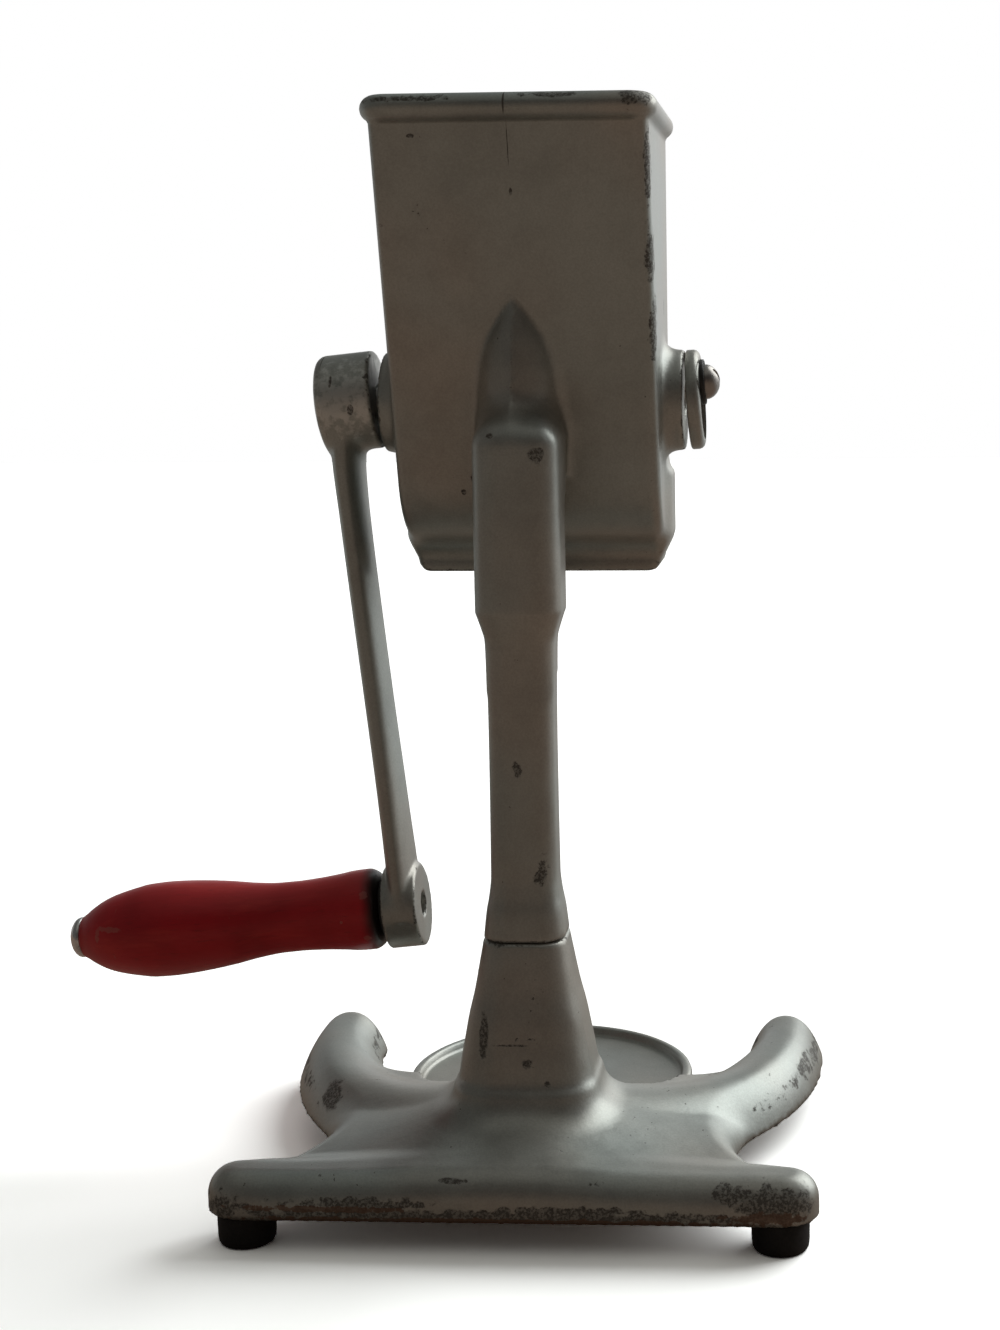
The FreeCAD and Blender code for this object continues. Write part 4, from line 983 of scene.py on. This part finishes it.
CAP_OUTLINE = [(0.0, 0.0), (0.0, 16.2), (0.25, 16.6), (0.6, CAP_R), (2.6, CAP_R), (3.5, 16.4),
               (4.2, 15.7), (4.55, 14.7), (4.6, 13.5), (4.6, 0.0)]
make_piece("cap_skin", *cap_turned(CAP_OUTLINE, (0, 0, 0), 128), "stand", "silver_casting",
           painted_cap, ["bearing_cap"])
THRUST_OUTLINE = [(0.0, 5.6), (0.0, 13.4), (0.1, 13.5), (0.4, 13.5), (0.5, 13.4), (0.5, 5.6),
                  (0.0, 5.6)]
# Thrust washer between the crank hub and the boss. Its black also stands in for the shade in that
# gap.
turned_piece("thrust_washer_skin", THRUST_OUTLINE, (-BOSS_LEFT, SHAFT_Y, SHAFT_Z), (-1, 0, 0),
             "stand", "black_fibre", black_fibre, ["thrust_washer"])
LOCK_OUTLINE = [(4.6, 0.0), (4.6, 7.2), (4.8, 7.5), (6.0, 7.5), (6.2, 7.2), (6.2, 0.0)]
make_piece("lock_washer_skin", *cap_turned(LOCK_OUTLINE, SCREW, 64), "stand", "black_steel",
           black_steel, ["lock_washer"])


def slotted_head(radius, height, foot, slot_half, slot_depth):
    """Domed screw head with a driver slot: over the disc (r, t) the height is the dome's,
    less the slot's depth near the slot's line."""
    around, rings = 96, 30
    turn = np.linspace(0, 2 * np.pi, around, endpoint=False)
    share = np.linspace(0, 1, rings) ** 0.8
    r = radius * share[:, None]
    dome = height * np.sqrt(np.maximum(1 - (share[:, None] * 0.985) ** 2, 0.0)) + 0 * turn
    across = np.abs(r * np.cos(turn - 0.5))
    floor = np.minimum(dome, height - slot_depth)
    wall = smooth_step(slot_half, slot_half + 0.35, across)
    high = foot + floor + (dome - floor) * wall
    points = np.stack([high, r * np.cos(turn), r * np.sin(turn)], -1)
    skirt = np.stack([np.full(around, foot), radius * np.cos(turn), radius * np.sin(turn)], -1)
    centre = np.stack([np.full(around, foot), 0 * turn, 0 * turn], -1)
    points = np.concatenate([points, skirt[None], centre[None]])
    return points.reshape(-1, 3) + SCREW, ring_faces(len(points), around)


head_points, head_faces = slotted_head(5.75, 4.9, 6.2, 0.55, 2.0)
make_piece("cap_screw_skin", *seamed(on_cap(head_points), head_faces), "stand", "steel",
           screw_steel, ["cap_screw"])

FOOT_OUTLINE = [(10.5, 0.0), (10.5, 8.4), (10.2, 8.9), (9.4, 9.1), (3.0, 9.0), (1.2, 8.8),
                (0.35, 8.3), (0.0, 7.5), (0.0, 4.5), (4.5, 4.5), (4.5, 0.0)]
for label, (foot_x, foot_y) in FEET.items():
    turned_piece("foot_skin_" + label, FOOT_OUTLINE, (foot_x, foot_y, 0.0), (0, 0, 1), "stand",
                 "black_rubber", foot_rubber, ["foot_" + label], 64)

rotor_nodes = ["rotor_drum", "breaker_comb"] + ["pick_row_%d" % row for row in range(1, 7)]
steel_nodes = ["rotor_shaft", "rotor_cross_pin", "post_bolt", "post_bolt_washer", "crank_set_screw",
               "comb_screw_left", "comb_screw_right"] + ["foot_screw_" + label for label in FEET]
# The handle washer's black fibre also stands in for the shade at the grip's inner end.
for nodes, material in ((rotor_nodes, rotor_iron), (steel_nodes, plain_steel),
                        (["handle_washer"], black_fibre)):
    for node in nodes:
        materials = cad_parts[node].data.materials
        materials.clear()
        materials.append(material)


# ---------------------------------------------------------------- floor, light and camera

def floor_material():
    """Floor that the camera sees white with the object's shadow. Other light meets a brown
    table, and reflections see it pale behind the object."""
    material = bpy.data.materials.new("pale_floor")
    material.use_nodes = True
    n = Nodes(material.node_tree)
    material.node_tree.nodes.remove(material.node_tree.nodes["Principled BSDF"])
    output = material.node_tree.nodes["Material Output"]
    seen = n.add("ShaderNodeLightPath")
    place = n.parts(n.coordinates("Object"))
    behind = n.times(seen.outputs["Is Glossy Ray"], n.span(place["Y"], 0.1, 0.7))
    sight = n.larger(seen.outputs["Is Camera Ray"], seen.outputs["Is Transmission Ray"])
    shade = n.mix(behind, (0.46, 0.345, 0.28, 1.0), (0.95, 0.95, 0.95, 1.0))
    shade = n.mix(sight, shade, (2.75, 2.75, 2.75, 1.0))
    table = n.add("ShaderNodeBsdfDiffuse", {"Color": shade})
    n.link(table.outputs[0], output.inputs["Surface"])
    return material


def build_floor():
    """Wide floor at the feet."""
    half = 4.0
    low = -PLATE_Z * MM
    mesh = bpy.data.meshes.new("floor")
    corners = [(-half, -half, low), (half, -half, low), (half, half, low), (-half, half, low)]
    mesh.from_pydata(corners, [], [(0, 1, 2, 3)])
    mesh.materials.append(floor_material())
    floor = bpy.data.objects.new("floor", mesh)
    bpy.context.scene.collection.objects.link(floor)


def build_world():
    """Studio walls: bright low down behind the object, dim elsewhere, and warm near the floor
    on the camera's side. The camera itself sees white."""
    world = bpy.data.worlds.new("studio")
    bpy.context.scene.world = world
    world.use_nodes = True
    tree = world.node_tree
    n = Nodes(tree)
    tree.nodes.clear()
    way = n.parts(n.coordinates("Generated"))
    room = n.mix(n.span(way["Z"], 0.05, 0.4), (0.115, 0.090, 0.075, 1.0),
                 (0.045, 0.042, 0.040, 1.0))
    room = n.mix(n.span(way["Z"], 0.6, 0.9), room, (0.26, 0.26, 0.24, 1.0))
    room = n.mix(n.span(way["Y"], -0.1, 0.6), room, (0.27, 0.285, 0.28, 1.0))
    room = n.mix(n.span(way["X"], -0.1, -0.7), room, (0.10, 0.10, 0.095, 1.0))
    low = n.span(way["Z"], 0.45, 0.15)
    backdrop = n.times(n.span(way["Y"], 0.05, 0.5), low)
    backdrop = n.times(backdrop, n.span(way["X"], -0.6, 0.0, 0.3, 1.0))
    room = n.mix(backdrop, room, (1.0, 1.0, 1.0, 1.0))
    lit = n.add("ShaderNodeBackground", {"Color": room, "Strength": 1.0})
    white = n.add("ShaderNodeBackground", {"Color": (1.0, 1.0, 1.0, 1.0), "Strength": 1.0})
    seen = n.add("ShaderNodeLightPath")
    sight = n.larger(seen.outputs["Is Camera Ray"], seen.outputs["Is Transmission Ray"])
    both = n.add("ShaderNodeMixShader", {0: sight, 1: lit.outputs[0], 2: white.outputs[0]})
    out = n.add("ShaderNodeOutputWorld")
    n.link(both.outputs[0], out.inputs["Surface"])


def add_sun(name, towards, strength, spread_deg, colour):
    """Sun lamp that shines from a direction, with soft edges."""
    lamp = bpy.data.lights.new(name, "SUN")
    lamp.energy = strength
    lamp.angle = math.radians(spread_deg)
    lamp.color = colour
    sun = bpy.data.objects.new(name, lamp)
    sun.rotation_euler = Vector(towards).to_track_quat("Z", "Y").to_euler()
    bpy.context.scene.collection.objects.link(sun)


def build_camera():
    """Camera at the photograph's viewing angle: behind the machine, right of it and above."""
    yaw, pitch, roll = math.radians(-3.113), math.radians(6.153), math.radians(-0.523)
    forward = Vector((math.sin(yaw) * math.cos(pitch), math.cos(yaw) * math.cos(pitch),
                      -math.sin(pitch)))
    right = Vector((math.cos(yaw), -math.sin(yaw), 0.0))
    up = right.cross(forward)
    level_right, level_up = right, up
    right = level_right * math.cos(roll) + level_up * math.sin(roll)
    up = level_up * math.cos(roll) - level_right * math.sin(roll)
    data = bpy.data.cameras.new("camera")
    data.lens = 56.039
    data.sensor_width = 36.0
    data.shift_x = -0.16
    data.shift_y = -0.0789
    data.clip_start = 0.01
    camera = bpy.data.objects.new("camera", data)
    place = placed((97.8, -657.36, 279.99))
    camera.matrix_world = Matrix((
        (right.x, up.x, -forward.x, place[0]),
        (right.y, up.y, -forward.y, place[1]),
        (right.z, up.z, -forward.z, place[2]),
        (0.0, 0.0, 0.0, 1.0)))
    bpy.context.scene.collection.objects.link(camera)
    bpy.context.scene.camera = camera


build_floor()
build_world()
add_sun("key_light", (0.60, 0.57, 0.56), 1.7, 50.0, (0.98, 1.0, 0.99))
build_camera()
bpy.context.scene.view_settings.view_transform = "Standard"
